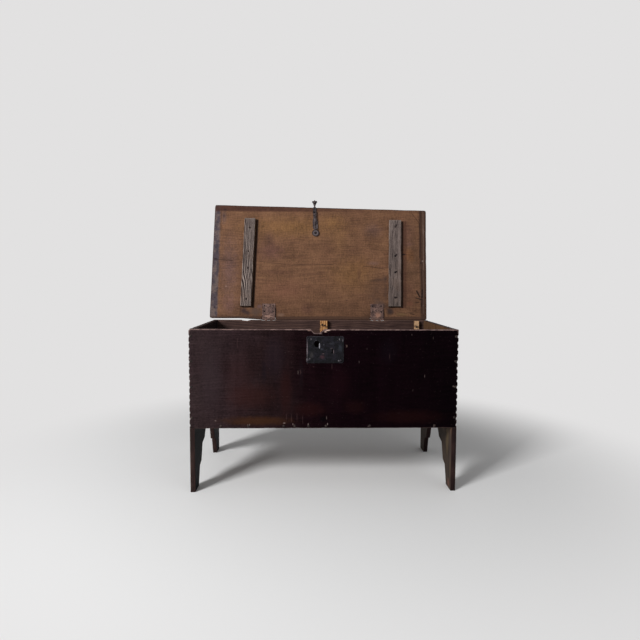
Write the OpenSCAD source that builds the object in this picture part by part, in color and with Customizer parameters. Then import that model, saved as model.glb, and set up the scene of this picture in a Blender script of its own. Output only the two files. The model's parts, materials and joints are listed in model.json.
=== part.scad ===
// Plank coffer: a six-board chest with its lid thrown open.
// Millimetres, +Z up. The front faces -Y, and +X is to the right of someone who looks at it.
// Everything is drawn with the lid shut and the hasp hanging, in chest coordinates: X from the middle of
// the chest, Y from the front face and Z from the floor. The lid and the hasp are then turned to where
// they rest, and the whole is moved so that the origin lies on the floor, midway from front to back.

/* [Chest] */
// Width of the chest over its end boards
chest_w = 1050; // [800:10:1300]
// Depth of the chest from front face to back face
chest_d = 528; // [460:4:640]
// Height of the chest without its lid
chest_h = 645; // [600:5:760]
// Height of the front and back boards
side_h = 390; // [340:5:420]
// Thickness of the front board
front_t = 19; // [17:0.5:24]
// Thickness of the back board
back_t = 19; // [15:0.5:24]
// Thickness of the end boards
end_t = 20; // [16:0.5:26]
// Thickness of the bottom board
bottom_t = 19; // [15:0.5:24]
// Depth of the groove that holds the bottom board in each end board
groove_depth = 6; // [3:0.5:9]
// Clearance between boards that are fitted into each other
board_gap = 0.1; // [0.05:0.05:0.5]

/* [Feet] */
// Width of a foot at the floor
foot_toe_w = 65; // [45:1:85]
// Width of a foot just under its lower step
foot_ankle_w = 89; // [70:1:100]
// Height of the lower step
foot_step_z = 77; // [60:1:90]
// Width of a foot above its lower step
foot_calf_w = 119; // [104:1:125]
// Width of a foot just under its upper step
foot_knee_w = 143; // [128:1:155]
// Height of the upper step
foot_top_z = 154; // [130:1:165]
// Width of a foot above its upper step
foot_thigh_w = 188; // [160:1:200]
// Height over which each step slopes
step_rise = 10; // [4:1:16]
// Rise of the arch between the feet
arch_rise = 50; // [30:1:60]

/* [Front board wear] */
// Spacing of the gouged nicks down the ends of the front board
nick_pitch = 25; // [18:1:40]
// Radius of the gouge that cut the nicks
nick_r = 9; // [6:0.5:12]
// Depth of the nicks
nick_depth = 3.2; // [1:0.2:5]
// Depth of the worn notch in the top edge, where the hasp strap passes
notch_depth = 14; // [9:1:20]
// Width of the notch at the top edge
notch_w = 52; // [40:1:80]
// Place of the notch's middle, from the hasp towards the right end
notch_shift = 6; // [0:1:8]

/* [Lid] */
// Thickness of the lid
lid_t = 20; // [18:0.5:26]
// How far the lid passes the front face at its left end
lid_front_left = 40; // [28:1:50]
// How far the lid passes the front face at its right end
lid_front_right = 19; // [14:1:28]
// How far the lid's back left corner passes the end board
lid_back_left_over = 23; // [6:1:24]
// How far the lid's front left corner passes the end board
lid_front_left_over = 6; // [2:1:16]
// How far the lid's back right corner passes the end board
lid_back_right_over = 1; // [0:1:12]
// How far the lid's front right corner passes the end board
lid_front_right_over = 7; // [0:1:12]
// How far the lid passes the back face at its left end
lid_back_over = 2; // [0:0.5:2.5]
// How much further back the lid reaches from its left hinge to its right end
lid_back_step = 9; // [1:1:10]
// Length over which its back edge runs back, up to the middle of the left hinge
lid_back_run = 140; // [100:5:180]
// Radius of the lid's corners
lid_corner_r = 10; // [4:1:16]
// Gap between the shut lid and the top edges of the chest
lid_gap = 0.3; // [0.2:0.1:1]
// Angle to which the lid stands open
lid_open = 99; // [92:1:105]

/* [Lid cleats] */
// Width of the left cleat
left_cleat_w = 53; // [40:1:70]
// Width of the right cleat
right_cleat_w = 61; // [40:1:70]
// Thickness of the left cleat
left_cleat_t = 18; // [12:1:22]
// Thickness of the right cleat
right_cleat_t = 16; // [12:1:22]
// Distance of the left cleat's middle from the left end of the chest, at its back end
left_cleat_back_in = 155; // [100:1:190]
// Distance of the left cleat's middle from the left end of the chest, at its front end
left_cleat_front_in = 171; // [100:1:190]
// Distance of the right cleat's middle from the right end of the chest, at its back end
right_cleat_back_in = 159; // [100:1:190]
// Distance of the right cleat's middle from the right end of the chest, at its front end
right_cleat_front_in = 152; // [100:1:190]
// Distance of both cleats from the lid's back edge
cleat_back_gap = 58; // [40:1:70]
// Room between the left cleat and the front board when the lid is shut
left_cleat_room = 12; // [6:1:24]
// Room between the right cleat and the front board when the lid is shut
right_cleat_room = 16; // [6:1:24]

/* [Battens inside the back] */
// Width of the centre batten
centre_batten_w = 37; // [24:1:60]
// Middle of the centre batten from the middle of the chest
centre_batten_x = 13; // [0:1:40]
// Width of the right batten
right_batten_w = 24; // [18:1:40]
// Distance of the right batten from the right end board
right_batten_gap = 26; // [10:1:60]
// Thickness of both battens
batten_t = 22; // [12:1:26]
// Distance of their tops under the top edge of the chest
batten_drop = 1; // [0.5:0.5:10]

/* [Hinges] */
// Distance of the left hinge's middle from the left end of the chest
left_hinge_in = 267; // [220:1:320]
// Distance of the right hinge's middle from the right end of the chest
right_hinge_in = 247; // [220:1:320]
// Width of a hinge
hinge_w = 64; // [50:1:80]
// Length of a hinge leaf, from its slots to its far edge
leaf_len = 68; // [50:1:80]
// Thickness of a hinge leaf
leaf_t = 3; // [2:0.25:4]
// Outside radius of the hinge knuckles
knuckle_r = 6.5; // [5.5:0.25:8]
// Distance of a leaf's outer face inside the reach of its knuckles
leaf_inset = 0.3; // [0.1:0.1:1]
// Radius of the hinge pin
hinge_pin_r = 3; // [2:0.25:3.5]
// Number of knuckles in a hinge, an odd number
knuckles = 5; // [3:2:7]
// Gap between one knuckle and the next
knuckle_gap = 0.5; // [0.3:0.1:1]
// Clearance of a pin in its bore, all round
pin_gap = 0.05; // [0.02:0.01:0.1]

/* [Lock plate] */
// Width of the lock plate
plate_w = 146; // [142:1:170]
// Height of the lock plate
plate_h = 106; // [100:1:120]
// Thickness of the lock plate
plate_t = 2; // [1.5:0.25:3]
// Distance of the plate's top edge under the top edge of the chest
plate_drop = 26; // [20:1:34]
// Middle of the plate from the middle of the chest
plate_x = 3; // [-4:1:8]
// Distance of the plate's nails from its edges
plate_nail_inset = 11; // [8:1:11]
// Depth of the pocket behind the plate
pocket_depth = 14; // [13.5:0.5:15]

/* [Hasp] */
// Place of the hasp left of the middle of the chest
hasp_left = 32; // [26:1:36]
// Distance of the hasp joint in front of the front face
hasp_out = 5.5; // [5.5:0.25:7]
// Outside radius of the hasp joint
hasp_knuckle_r = 4; // [3.5:0.25:4.5]
// Radius of the hasp pin
hasp_pin_r = 2; // [1.5:0.25:2.5]
// Width of the hasp strap at its joint
strap_w = 17.5; // [15:0.5:20]
// Thickness of the hasp strap and the hasp leaf
strap_t = 3; // [2.5:0.25:3.5]
// Distance from the hasp joint to the middle of the strap's round end
strap_len = 106; // [95:1:120]
// Sideways lean of the strap's round end towards the middle of the chest
strap_lean = 5; // [0:1:8]
// Radius of the strap's round end
penny_r = 17.5; // [14:0.5:20]
// Length of the hasp leaf from its joint
hasp_len = 56.5; // [55:0.5:62]
// Width of the fish-tail end
fishtail_w = 27; // [24:1:30]
// Distance of the staple's middle from the hasp joint
staple_at = 49.5; // [48:0.5:51]

/* [Lock bolt] */
// Height of the bolt's bar
bolt_h = 5; // [4:0.25:5.5]
// Thickness of the bolt
bolt_t = 3.5; // [2.5:0.25:4]
// Travel of the bolt
bolt_travel = 24; // [23:0.5:24.5]
// Running clearance of the bolt in its guides
bolt_gap = 0.3; // [0.2:0.05:0.5]

/* [Nails] */
// Side of the square shank of a board nail
nail_side = 3.6; // [2.5:0.1:4.5]
// Length of a board nail
nail_len = 52; // [40:1:60]
// Radius of a board nail's head
nail_head_r = 5; // [4:0.25:7]
// Side of the square shank of a short nail
tack_side = 2.6; // [2:0.1:3.2]
// Radius of a short nail's head
tack_head_r = 4; // [3:0.25:5]
// Clearance round a nail's shank
nail_gap = 0.05; // [0.02:0.01:0.2]

/* [Hidden] */
$fn = 48;
eps = 0.5;
seam = 0.01;

// Colours
dark_wood = [0.20, 0.12, 0.10];
end_wood = [0.34, 0.24, 0.18];
lid_wood = [0.46, 0.31, 0.21];
grey_wood = [0.45, 0.39, 0.35];
pale_wood = [0.70, 0.58, 0.44];
black_iron = [0.14, 0.14, 0.16];
rust_iron = [0.38, 0.31, 0.29];

// Chest
half_w = chest_w / 2;
inside_half_w = half_w - end_t;
side_z = chest_h - side_h;
floor_top = side_z + bottom_t;
back_in = chest_d - back_t;
mid_y = chest_d / 2;

// Hinges: the pin lies behind the back face and a little above the top edge
pin_y = chest_d + knuckle_r - leaf_inset;
lid_z = chest_h + lid_gap;
pin_z = lid_z + knuckle_r - leaf_inset - leaf_t;
leaf_start = knuckle_r + 1;
leaf_end = leaf_start + leaf_len;
hinge_places = [left_hinge_in - half_w, half_w - right_hinge_in];
knuckle_step = (hinge_w + knuckle_gap) / knuckles;
gain_room = 1;
hinge_notch_room = 1.2;
pin_end = 0.8;

// Lid
lid_back = chest_d + lid_back_over;
lid_corners = [
    [-half_w - lid_front_left_over, -lid_front_left],
    [half_w + lid_front_right_over, -lid_front_right],
    [half_w + lid_back_right_over, lid_back + lid_back_step],
    [-half_w - lid_back_left_over, lid_back]
];

// Hasp
hasp_x = -hasp_left;
hasp_pin_y = -hasp_out;
hasp_pin_z = lid_z - hasp_knuckle_r - lid_gap;
hasp_knuckle = (strap_w - 2 * knuckle_gap) / 3;
strap_turn = atan(strap_lean / strap_len);
staple_w = 6;
staple_bar = 3;
staple_play = 1;
staple_hole_h = bolt_h + 2 * staple_play;
staple_z = hasp_pin_z - staple_at;
leaf_back_y = hasp_pin_y + strap_t / 2;

// Lock plate and the D-shaped hole in it, whose straight side is on the right
plate_top = chest_h - plate_drop;
plate_mid_z = plate_top - plate_h / 2;
plate_corner = 5;
slot_w = 17.5;
slot_h = 23;
slot_r = 15.4;
slot_right = hasp_x + 10.2;
slot_z = staple_z - 3.5;
slot_middle_x = slot_right - 2.1;
slot_middle_z = slot_z + 1.5;

// Bolt, behind the plate: a bar that ends in a deeper tail
bolt_y = bolt_gap;
bolt_z = staple_z;
bolt_back = bolt_y + bolt_t;
bolt_low = bolt_z - bolt_h / 2;
bolt_high = bolt_z + bolt_h / 2;
bolt_tip = hasp_x + 11;
bar_len = 38;
tail_len = 36;
tail_left = bolt_tip + bar_len;
tail_right = tail_left + tail_len;
tail_drop = 7;
tail_low = bolt_low - tail_drop;
stud_in = 5;
stud_x = tail_left + stud_in;
stud_r = 1.5;
stud_neck = 1;
stud_head = 1.5;
talon_in = 26;
talon_x = tail_left + talon_in;
talon_r = 4;

// Key: its bit turns about the keyhole's middle and reaches into the tail's round notch
key_x = talon_x - bolt_travel / 2;
key_reach = 20;
key_z = tail_low - key_reach + talon_r;
key_r = 3.5;
key_w = 5;
key_drop = 14;

// Guides of the bolt, guard of the key, post of the spring, and the pocket that holds them
guide_w = 5;
guide_t = 2;
tenon_r = 1;
keeper_x = hasp_x - 12.5;
guide_x = bolt_tip + 10;
guard_y = 10;
guard_h = 8;
guard_room = 4;
guard_legs = [key_x - key_reach - guard_room, key_x + key_reach + guard_room];
post_x = tail_right - 2;
post_z = bolt_z + 10;
spring_t = 1.4;
pocket_room = 4;
pocket_left = keeper_x - guide_w / 2 - pocket_room;
pocket_right = guard_legs[1] + guide_t + pocket_room;
pocket_low = key_z - key_reach - pocket_room;
pocket_high = post_z + pocket_room;

// Nail heads, and the wood that is left beyond the points of the shorter nails
head_h = 2.2;
tack_head_h = 1.5;
head_taper = 0.35;
dome_r = 5.5;
dome_h = 3;
point_cover = 4;
lid_tack_len = leaf_t + lid_t - point_cover;
back_tack_len = leaf_t + back_t - point_cover;
strap_tack_len = strap_t + lid_t - point_cover;
plate_nail_len = plate_t + front_t - point_cover;
batten_nail_len = batten_t + back_t - point_cover;
left_cleat_nail_len = left_cleat_t + lid_t - point_cover;
right_cleat_nail_len = right_cleat_t + lid_t - point_cover;

// The whole is moved back by this much, so that the open chest's box is centred from front to back
lid_lean = lid_open - 90;
lid_top = lid_z + lid_t;
lid_top_y = pin_y + (pin_y + lid_front_left) * sin(lid_lean) + (lid_top - pin_z) * cos(lid_lean);
frame_y = (lid_top_y - plate_t - dome_h) / 2;

// Moves and turns
module to_frame() {
    translate([0, -frame_y, 0]) children();
}

module turn_about(y, z, angle) {
    translate([0, y, z]) rotate([angle, 0, 0]) translate([0, -y, -z]) children();
}

module on_lid() {
    to_frame() turn_about(pin_y, pin_z, -lid_open) children();
}

module on_hasp() {
    on_lid() turn_about(hasp_pin_y, hasp_pin_z, -90) children();
}

// Bar along X between two corners
module block(low, high) {
    translate(low) cube(high - low);
}

// Round bar along X
module x_rod(x0, x1, y, z, r) {
    translate([x0, y, z]) rotate([0, 90, 0]) cylinder(h = x1 - x0, r = r);
}

// Round bar along Y
module y_rod(x, y0, y1, z, r) {
    translate([x, y0, z]) rotate([-90, 0, 0]) cylinder(h = y1 - y0, r = r);
}

// Nails. A place is [x, y, z] of the surface that the head sits on.
module nail_at(place, turn, side, len, head_r, head) {
    translate(place) rotate(turn) {
        translate([-side / 2, -side / 2, -head / 2]) cube([side, side, len + head / 2]);
        translate([0, 0, -head]) cylinder(h = head, r1 = head_r * head_taper, r2 = head_r);
    }
}

module nail_holes(places, turn, side, len) {
    for (place = places) {
        w = side + 2 * nail_gap;
        translate(place) rotate(turn) translate([-w / 2, -w / 2, -eps])
            cube([w, w, len + eps + nail_gap]);
    }
}

module board_nails(places, turn, len) {
    for (place = places) nail_at(place, turn, nail_side, len, nail_head_r, head_h);
}

module tacks(places, turn, len) {
    for (place = places) nail_at(place, turn, tack_side, len, tack_head_r, tack_head_h);
}

to_back = [-90, 0, 0];
to_front = [90, 0, 0];
to_right = [0, 90, 0];
to_left = [0, -90, 0];
up = [0, 0, 0];

// Nails through the front and back boards into the bottom board and into the end boards
bottom_nail_z = side_z + bottom_t / 2;
end_edge_x = half_w - end_t / 2;
front_bottom_parts = [-0.77, -0.564, -0.301, -0.219, -0.116, 0.015, 0.343, 0.83];
end_edge_parts = [0.11, 0.42, 0.68, 0.93];
front_nail_places = concat(
    [for (part = front_bottom_parts) [part * half_w, 0, bottom_nail_z]],
    [for (side = [-1, 1]) for (part = end_edge_parts) [side * end_edge_x, 0, side_z + part * side_h]]
);
back_bottom_count = 7;
back_nail_places = concat(
    [for (i = [1 : back_bottom_count])
        [half_w * (2 * i / (back_bottom_count + 1) - 1), chest_d, bottom_nail_z]],
    [for (side = [-1, 1]) for (part = end_edge_parts)
        [side * end_edge_x, chest_d, side_z + part * side_h]]
);

// Nails through an end board into the end of the bottom board
end_nail_places = [
    for (part = [0.2, 0.5, 0.8]) [half_w, front_t + part * (back_in - front_t), bottom_nail_z]
];

// Nails through the battens into the back board, in uneven pairs in the centre batten
batten_top = chest_h - batten_drop;
batten_front = back_in - batten_t;
right_batten_x = inside_half_w - right_batten_gap - right_batten_w / 2;
batten_nail_rise = 24;
batten_nail_drop = 22;
batten_nail_low = floor_top + batten_nail_rise;
batten_nail_high = batten_top - batten_nail_drop;
batten_nail_places = concat(
    [for (part = [-0.2, 0.15])
        [centre_batten_x + part * centre_batten_w, batten_front, batten_nail_high - part * 10]],
    [for (part = [-0.15, 0.2])
        [centre_batten_x + part * centre_batten_w, batten_front, batten_nail_low]],
    [for (z = [batten_nail_high - 8, batten_nail_low]) [right_batten_x, batten_front, z]]
);

// Cleats: each is a bar from its back end to its front end, with its nails along its middle line
cleat_back_y = lid_back - cleat_back_gap;
left_cleat_ends = [
    [left_cleat_back_in - half_w, cleat_back_y],
    [left_cleat_front_in - half_w, front_t + left_cleat_room]
];
right_cleat_ends = [
    [half_w - right_cleat_back_in, cleat_back_y],
    [half_w - right_cleat_front_in, front_t + right_cleat_room]
];
left_nail_parts = [0.08, 0.43, 0.62, 0.89];
right_nail_parts = [0.10, 0.39, 0.58, 0.92];

function along(ends, part) = ends[0] + part * (ends[1] - ends[0]);
function cleat_nails_on(ends, parts, t) = [
    for (part = parts) concat(along(ends, part), [lid_z - t])
];
left_cleat_nails = cleat_nails_on(left_cleat_ends, left_nail_parts, left_cleat_t);
right_cleat_nails = cleat_nails_on(right_cleat_ends, right_nail_parts, right_cleat_t);

// Nails of the lock plate
plate_nail_dx = plate_w / 2 - plate_nail_inset;
plate_nail_dz = plate_h / 2 - plate_nail_inset;
plate_nail_places = [
    for (sx = [-1, 1]) for (sz = [-1, 1])
        [plate_x + sx * plate_nail_dx, -plate_t, plate_mid_z + sz * plate_nail_dz]
];

// Nails of the hinge leaves, on the leaf's outer face
leaf_nail_parts = [0.42, 0.84];
leaf_nail_inset = 11;
leaf_nail_dx = hinge_w / 2 - leaf_nail_inset;
lid_leaf_nail_places = [
    for (x = hinge_places) for (side = [-1, 1]) for (part = leaf_nail_parts)
        [x + side * leaf_nail_dx, pin_y - leaf_start - part * leaf_len, lid_z - leaf_t]
];
back_leaf_nail_places = [
    for (x = hinge_places) for (side = [-1, 1]) for (part = leaf_nail_parts)
        [x + side * leaf_nail_dx, chest_d + leaf_t, pin_z - leaf_start - part * leaf_len]
];

// Nails of the hasp strap: one through the round end, one through the broad part
strap_nail_places = [
    for (part = [0.62, 1]) [hasp_x + part * strap_lean, hasp_pin_y + part * strap_len, lid_z - strap_t]
];

// Front board: nicks, the worn notch, the lock's pocket and all nail holes
module front_board() {
    nick_count = floor((side_h - nick_pitch) / nick_pitch) + 1;
    nick_out = nick_r - nick_depth;
    color(dark_wood) to_frame() difference() {
        block([-half_w, 0, side_z], [half_w, front_t, chest_h]);
        for (side = [-1, 1]) for (i = [0 : nick_count - 1])
            y_rod(side * (half_w + nick_out), -eps, front_t + eps,
                side_z + (i + 0.5) * nick_pitch, nick_r);
        translate([hasp_x + notch_shift, 0, chest_h]) top_notch();
        block([pocket_left, -eps, pocket_low], [pocket_right, pocket_depth, pocket_high]);
        nail_holes(front_nail_places, to_back, nail_side, nail_len);
        nail_holes(plate_nail_places, to_back, tack_side, plate_nail_len);
    }
}

// Outline of the worn notch, in parts of its half width and of its depth
notch_shape = [[-1, 0], [-0.73, -0.6], [-0.42, -1], [0.27, -1], [0.65, -0.5], [1, 0]];

module top_notch() {
    points = [for (p = notch_shape) [p[0] * notch_w / 2, p[1] * notch_depth]];
    translate([0, front_t + eps, 0]) rotate([90, 0, 0]) linear_extrude(front_t + 2 * eps)
        polygon(concat([[-notch_w / 2, eps]], points, [[notch_w / 2, eps]]));
}

// Back board: its top edge has a gain for each hinge leaf
module back_board() {
    gain_w = hinge_w + 2 * gain_room;
    color(dark_wood) to_frame() difference() {
        block([-half_w, back_in, side_z], [half_w, chest_d, chest_h]);
        for (x = hinge_places)
            block([x - gain_w / 2, back_in - eps, lid_z - leaf_t - lid_gap],
                [x + gain_w / 2, chest_d + eps, chest_h + eps]);
        nail_holes(back_nail_places, to_front, nail_side, nail_len);
        nail_holes(back_leaf_nail_places, to_front, tack_side, back_tack_len);
        nail_holes(batten_nail_places, to_back, nail_side, batten_nail_len);
    }
}

// End board: the outline seen from the side, with notches for front and back boards and the feet
foot_side = [
    [foot_toe_w, -eps], [foot_toe_w, 0],
    [foot_ankle_w, foot_step_z], [foot_calf_w, foot_step_z + step_rise],
    [foot_knee_w, foot_top_z], [foot_thigh_w, foot_top_z + step_rise]
];

function mirrored(points) = [
    for (i = [len(points) - 1 : -1 : 0]) [chest_d - points[i][0], points[i][1]]
];

module foot_gap() {
    spring_z = foot_top_z + step_rise;
    half_span = mid_y - foot_thigh_w;
    arch_r = (half_span * half_span + arch_rise * arch_rise) / (2 * arch_rise);
    polygon(concat(foot_side, mirrored(foot_side)));
    intersection() {
        translate([mid_y, spring_z + arch_rise - arch_r]) circle(r = arch_r, $fn = 96);
        translate([mid_y - half_span, spring_z - seam]) square([2 * half_span, arch_rise + eps]);
    }
}

module end_outline() {
    difference() {
        square([chest_d, chest_h]);
        translate([-eps, side_z - board_gap])
            square([front_t + board_gap + eps, side_h + board_gap + eps]);
        translate([back_in - board_gap, side_z - board_gap])
            square([back_t + board_gap + eps, side_h + board_gap + eps]);
        foot_gap();
    }
}

module end_board(side) {
    inner = side * inside_half_w;
    outer = side * half_w;
    groove = side * (inside_half_w + groove_depth + board_gap);
    mouth = inner - side * eps;
    difference() {
        translate([min(inner, outer), 0, 0]) rotate([90, 0, 90]) linear_extrude(end_t) end_outline();
        block([min(mouth, groove), -eps, side_z - board_gap],
            [max(mouth, groove), chest_d + eps, floor_top + board_gap]);
        nail_holes(front_nail_places, to_back, nail_side, nail_len);
        nail_holes(back_nail_places, to_front, nail_side, nail_len);
        mirror([side < 0 ? 1 : 0, 0, 0]) nail_holes(end_nail_places, to_left, nail_side, nail_len);
    }
}

module left_end_board() {
    color(end_wood) to_frame() end_board(-1);
}

module right_end_board() {
    color(end_wood) to_frame() end_board(1);
}

module bottom_board() {
    bottom_half = inside_half_w + groove_depth;
    color(end_wood) to_frame() difference() {
        block([-bottom_half, front_t + board_gap, side_z], [bottom_half, back_in - board_gap, floor_top]);
        nail_holes(front_nail_places, to_back, nail_side, nail_len);
        nail_holes(back_nail_places, to_front, nail_side, nail_len);
        nail_holes(end_nail_places, to_left, nail_side, nail_len);
        mirror([1, 0, 0]) nail_holes(end_nail_places, to_left, nail_side, nail_len);
    }
}

module batten(x, w) {
    difference() {
        block([x - w / 2, batten_front, floor_top], [x + w / 2, back_in, batten_top]);
        nail_holes(batten_nail_places, to_back, nail_side, batten_nail_len);
    }
}

module centre_batten() {
    color(pale_wood) to_frame() batten(centre_batten_x, centre_batten_w);
}

module right_batten() {
    color(pale_wood) to_frame() batten(right_batten_x, right_batten_w);
}

module front_nails() {
    color(rust_iron) to_frame() board_nails(front_nail_places, to_back, nail_len);
}

module back_nails() {
    color(rust_iron) to_frame() board_nails(back_nail_places, to_front, nail_len);
}

module end_nails() {
    color(rust_iron) to_frame() {
        board_nails(end_nail_places, to_left, nail_len);
        mirror([1, 0, 0]) board_nails(end_nail_places, to_left, nail_len);
    }
}

module batten_nails() {
    color(rust_iron) to_frame() board_nails(batten_nail_places, to_back, batten_nail_len);
}

// Lock plate: a D-shaped hole for the staple and a keyhole, and holes for the tenons of what it carries
module hasp_slot() {
    intersection() {
        translate([slot_middle_x, slot_middle_z]) circle(r = slot_r);
        translate([slot_right - slot_w, slot_z - slot_h / 2]) square([slot_w, slot_h]);
    }
}

module keyhole() {
    translate([key_x, key_z]) circle(r = key_r);
    translate([key_x - key_w / 2, key_z - key_drop]) square([key_w, key_drop]);
}

// Tenons that go through the plate, as [x, z, radius]
bar_tenons = [
    for (x = [keeper_x, guide_x]) for (side = [-1, 1])
        [x, bolt_z + side * (bolt_h / 2 + bolt_gap + guide_t / 2), tenon_r]
];
other_tenons = concat(
    [for (x = guard_legs) [x, key_z, stud_r]],
    [[stud_x, bolt_z, stud_r], [post_x, post_z, stud_r]]
);

module lock_plate() {
    w = plate_w / 2;
    h = plate_h / 2;
    inner_w = w - plate_corner;
    inner_h = h - plate_corner;
    color(black_iron) to_frame() difference() {
        rotate([90, 0, 0]) linear_extrude(plate_t) difference() {
            translate([plate_x, plate_mid_z]) polygon([
                [-inner_w, -h], [inner_w, -h], [w, -inner_h], [w, inner_h],
                [inner_w, h], [-inner_w, h], [-w, inner_h], [-w, -inner_h]
            ]);
            hasp_slot();
            keyhole();
        }
        for (tenon = concat(bar_tenons, other_tenons))
            y_rod(tenon[0], -plate_t - eps, eps, tenon[1], tenon[2] + pin_gap);
        nail_holes(plate_nail_places, to_back, tack_side, plate_nail_len);
    }
}

module domed_nail(place, len) {
    ball_r = (dome_r * dome_r + dome_h * dome_h) / (2 * dome_h);
    translate([place[0] - tack_side / 2, place[1] - dome_h / 2, place[2] - tack_side / 2])
        cube([tack_side, len + dome_h / 2, tack_side]);
    intersection() {
        translate([place[0], place[1] + ball_r - dome_h, place[2]]) sphere(r = ball_r);
        y_rod(place[0], place[1] - dome_h - 1, place[1], place[2], dome_r);
    }
}

module lock_plate_nails() {
    color(black_iron) to_frame() for (place = plate_nail_places) domed_nail(place, plate_nail_len);
}

// Guide: a strap bent over the bolt, with a tenon on each leg
module bolt_bridge(x) {
    inner = bolt_h / 2 + bolt_gap;
    difference() {
        block([x - guide_w / 2, 0, bolt_z - inner - guide_t],
            [x + guide_w / 2, bolt_back + bolt_gap + guide_t, bolt_z + inner + guide_t]);
        block([x - guide_w, -eps, bolt_z - inner], [x + guide_w, bolt_back + bolt_gap, bolt_z + inner]);
    }
    for (side = [-1, 1]) y_rod(x, -plate_t, eps, bolt_z + side * (inner + guide_t / 2), tenon_r);
}

module bolt_keeper() {
    color(rust_iron) to_frame() bolt_bridge(keeper_x);
}

module bolt_guide() {
    color(rust_iron) to_frame() bolt_bridge(guide_x);
}

module bolt_stud() {
    head_y = bolt_back + bolt_gap;
    color(rust_iron) to_frame() {
        y_rod(stud_x, -plate_t, head_y + stud_neck, bolt_z, stud_r);
        y_rod(stud_x, head_y, head_y + stud_head, bolt_z, stud_r + stud_head);
    }
}

// Flat spring: it leans on the top of the bolt's tail from a post on the plate
module lock_spring() {
    rest_z = bolt_high + bolt_gap + spring_t / 2;
    line = [
        [post_x + stud_r, post_z], [post_x - stud_r, post_z], [post_x - tail_len / 2, post_z - spring_t],
        [stud_x + stud_head, rest_z], [stud_x - stud_head, rest_z + spring_t / 2]
    ];
    half = [0, spring_t / 2];
    color(rust_iron) to_frame() {
        y_rod(post_x, -plate_t, bolt_back, post_z, stud_r);
        translate([0, bolt_back, 0]) rotate([90, 0, 0]) linear_extrude(bolt_t) polygon(concat(
            [for (point = line) point + half],
            [for (i = [len(line) - 1 : -1 : 0]) line[i] - half]
        ));
    }
}

// Guard: a strap behind the keyhole, bored for the key's tip
module key_guard() {
    low = key_z - guard_h / 2;
    high = key_z + guard_h / 2;
    color(rust_iron) to_frame() difference() {
        union() {
            block([guard_legs[0] - guide_t, guard_y, low],
                [guard_legs[1] + guide_t, guard_y + guide_t, high]);
            for (x = guard_legs) {
                block([x - guide_t, 0, low], [x + guide_t, guard_y + eps, high]);
                y_rod(x, -plate_t, eps, key_z, stud_r);
            }
        }
        y_rod(key_x, guard_y - eps, guard_y + guide_t + eps, key_z, stud_r);
    }
}

// Bolt: a bar with a deeper tail, slotted for the stud and notched for the key
module lock_bolt() {
    slot_half = stud_r + 2 * pin_gap;
    slot_end = stud_x + bolt_travel;
    through = bolt_back + eps;
    color(rust_iron) to_frame() difference() {
        union() {
            block([bolt_tip, bolt_y, bolt_low], [tail_right, bolt_back, bolt_high]);
            block([tail_left, bolt_y, tail_low], [tail_right, bolt_back, bolt_high]);
        }
        for (x = [stud_x, slot_end]) y_rod(x, 0, through, bolt_z, slot_half);
        block([stud_x, 0, bolt_z - slot_half], [slot_end, through, bolt_z + slot_half]);
        y_rod(talon_x, 0, through, tail_low, talon_r);
    }
}

// Hinges. A leaf is drawn flat under the lid, its knuckles on the pin's line at the origin.
function is_lid_knuckle(i) = i % 2 == 0;

module knuckle_set(for_lid) {
    for (i = [0 : knuckles - 1]) if (is_lid_knuckle(i) == for_lid)
        translate([-hinge_w / 2 + i * knuckle_step, 0, 0]) children();
}

module hinge_leaf(for_lid) {
    knuckle_w = knuckle_step - knuckle_gap;
    low = leaf_inset - knuckle_r;
    top = low + leaf_t;
    difference() {
        union() {
            block([-hinge_w / 2, -leaf_end, low], [hinge_w / 2, -leaf_start, top]);
            knuckle_set(for_lid) {
                x_rod(0, knuckle_w, 0, 0, knuckle_r);
                block([0, -leaf_start - eps, low], [knuckle_w, 0, top]);
            }
        }
        x_rod(-hinge_w, hinge_w, 0, 0, hinge_pin_r + pin_gap);
    }
}

module lid_leaf(x) {
    difference() {
        translate([x, pin_y, pin_z]) hinge_leaf(true);
        nail_holes(lid_leaf_nail_places, up, tack_side, lid_tack_len);
    }
}

module back_leaf(x) {
    difference() {
        translate([x, pin_y, pin_z]) mirror([0, 1, -1]) hinge_leaf(false);
        nail_holes(back_leaf_nail_places, to_front, tack_side, back_tack_len);
    }
}

module left_hinge_lid_leaf() {
    color(rust_iron) on_lid() lid_leaf(hinge_places[0]);
}

module right_hinge_lid_leaf() {
    color(rust_iron) on_lid() lid_leaf(hinge_places[1]);
}

module left_hinge_back_leaf() {
    color(rust_iron) to_frame() back_leaf(hinge_places[0]);
}

module right_hinge_back_leaf() {
    color(rust_iron) to_frame() back_leaf(hinge_places[1]);
}

module hinge_pin(x) {
    x_rod(x - hinge_w / 2 - pin_end, x + hinge_w / 2 + pin_end, pin_y, pin_z, hinge_pin_r);
}

module left_hinge_pin() {
    color(rust_iron) to_frame() hinge_pin(hinge_places[0]);
}

module right_hinge_pin() {
    color(rust_iron) to_frame() hinge_pin(hinge_places[1]);
}

module hinge_back_nails() {
    color(rust_iron) to_frame() tacks(back_leaf_nail_places, to_front, back_tack_len);
}

module hinge_lid_nails() {
    color(rust_iron) on_lid() tacks(lid_leaf_nail_places, up, lid_tack_len);
}

// Lid: four corners that aren't square, each rounded, a notch round each hinge, and a back edge that
// runs back towards the left hinge
function unit(v) = v / norm(v);

function towards(i, step) = unit(lid_corners[(i + step) % len(lid_corners)] - lid_corners[i]);

// Point of a rounded corner, from 0 where it leaves one edge to 1 where it meets the next
function corner_point(i, part) = lid_corners[i] + lid_corner_r * (
    (1 - part) * (1 - part) * towards(i, len(lid_corners) - 1) + part * part * towards(i, 1)
);

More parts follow.
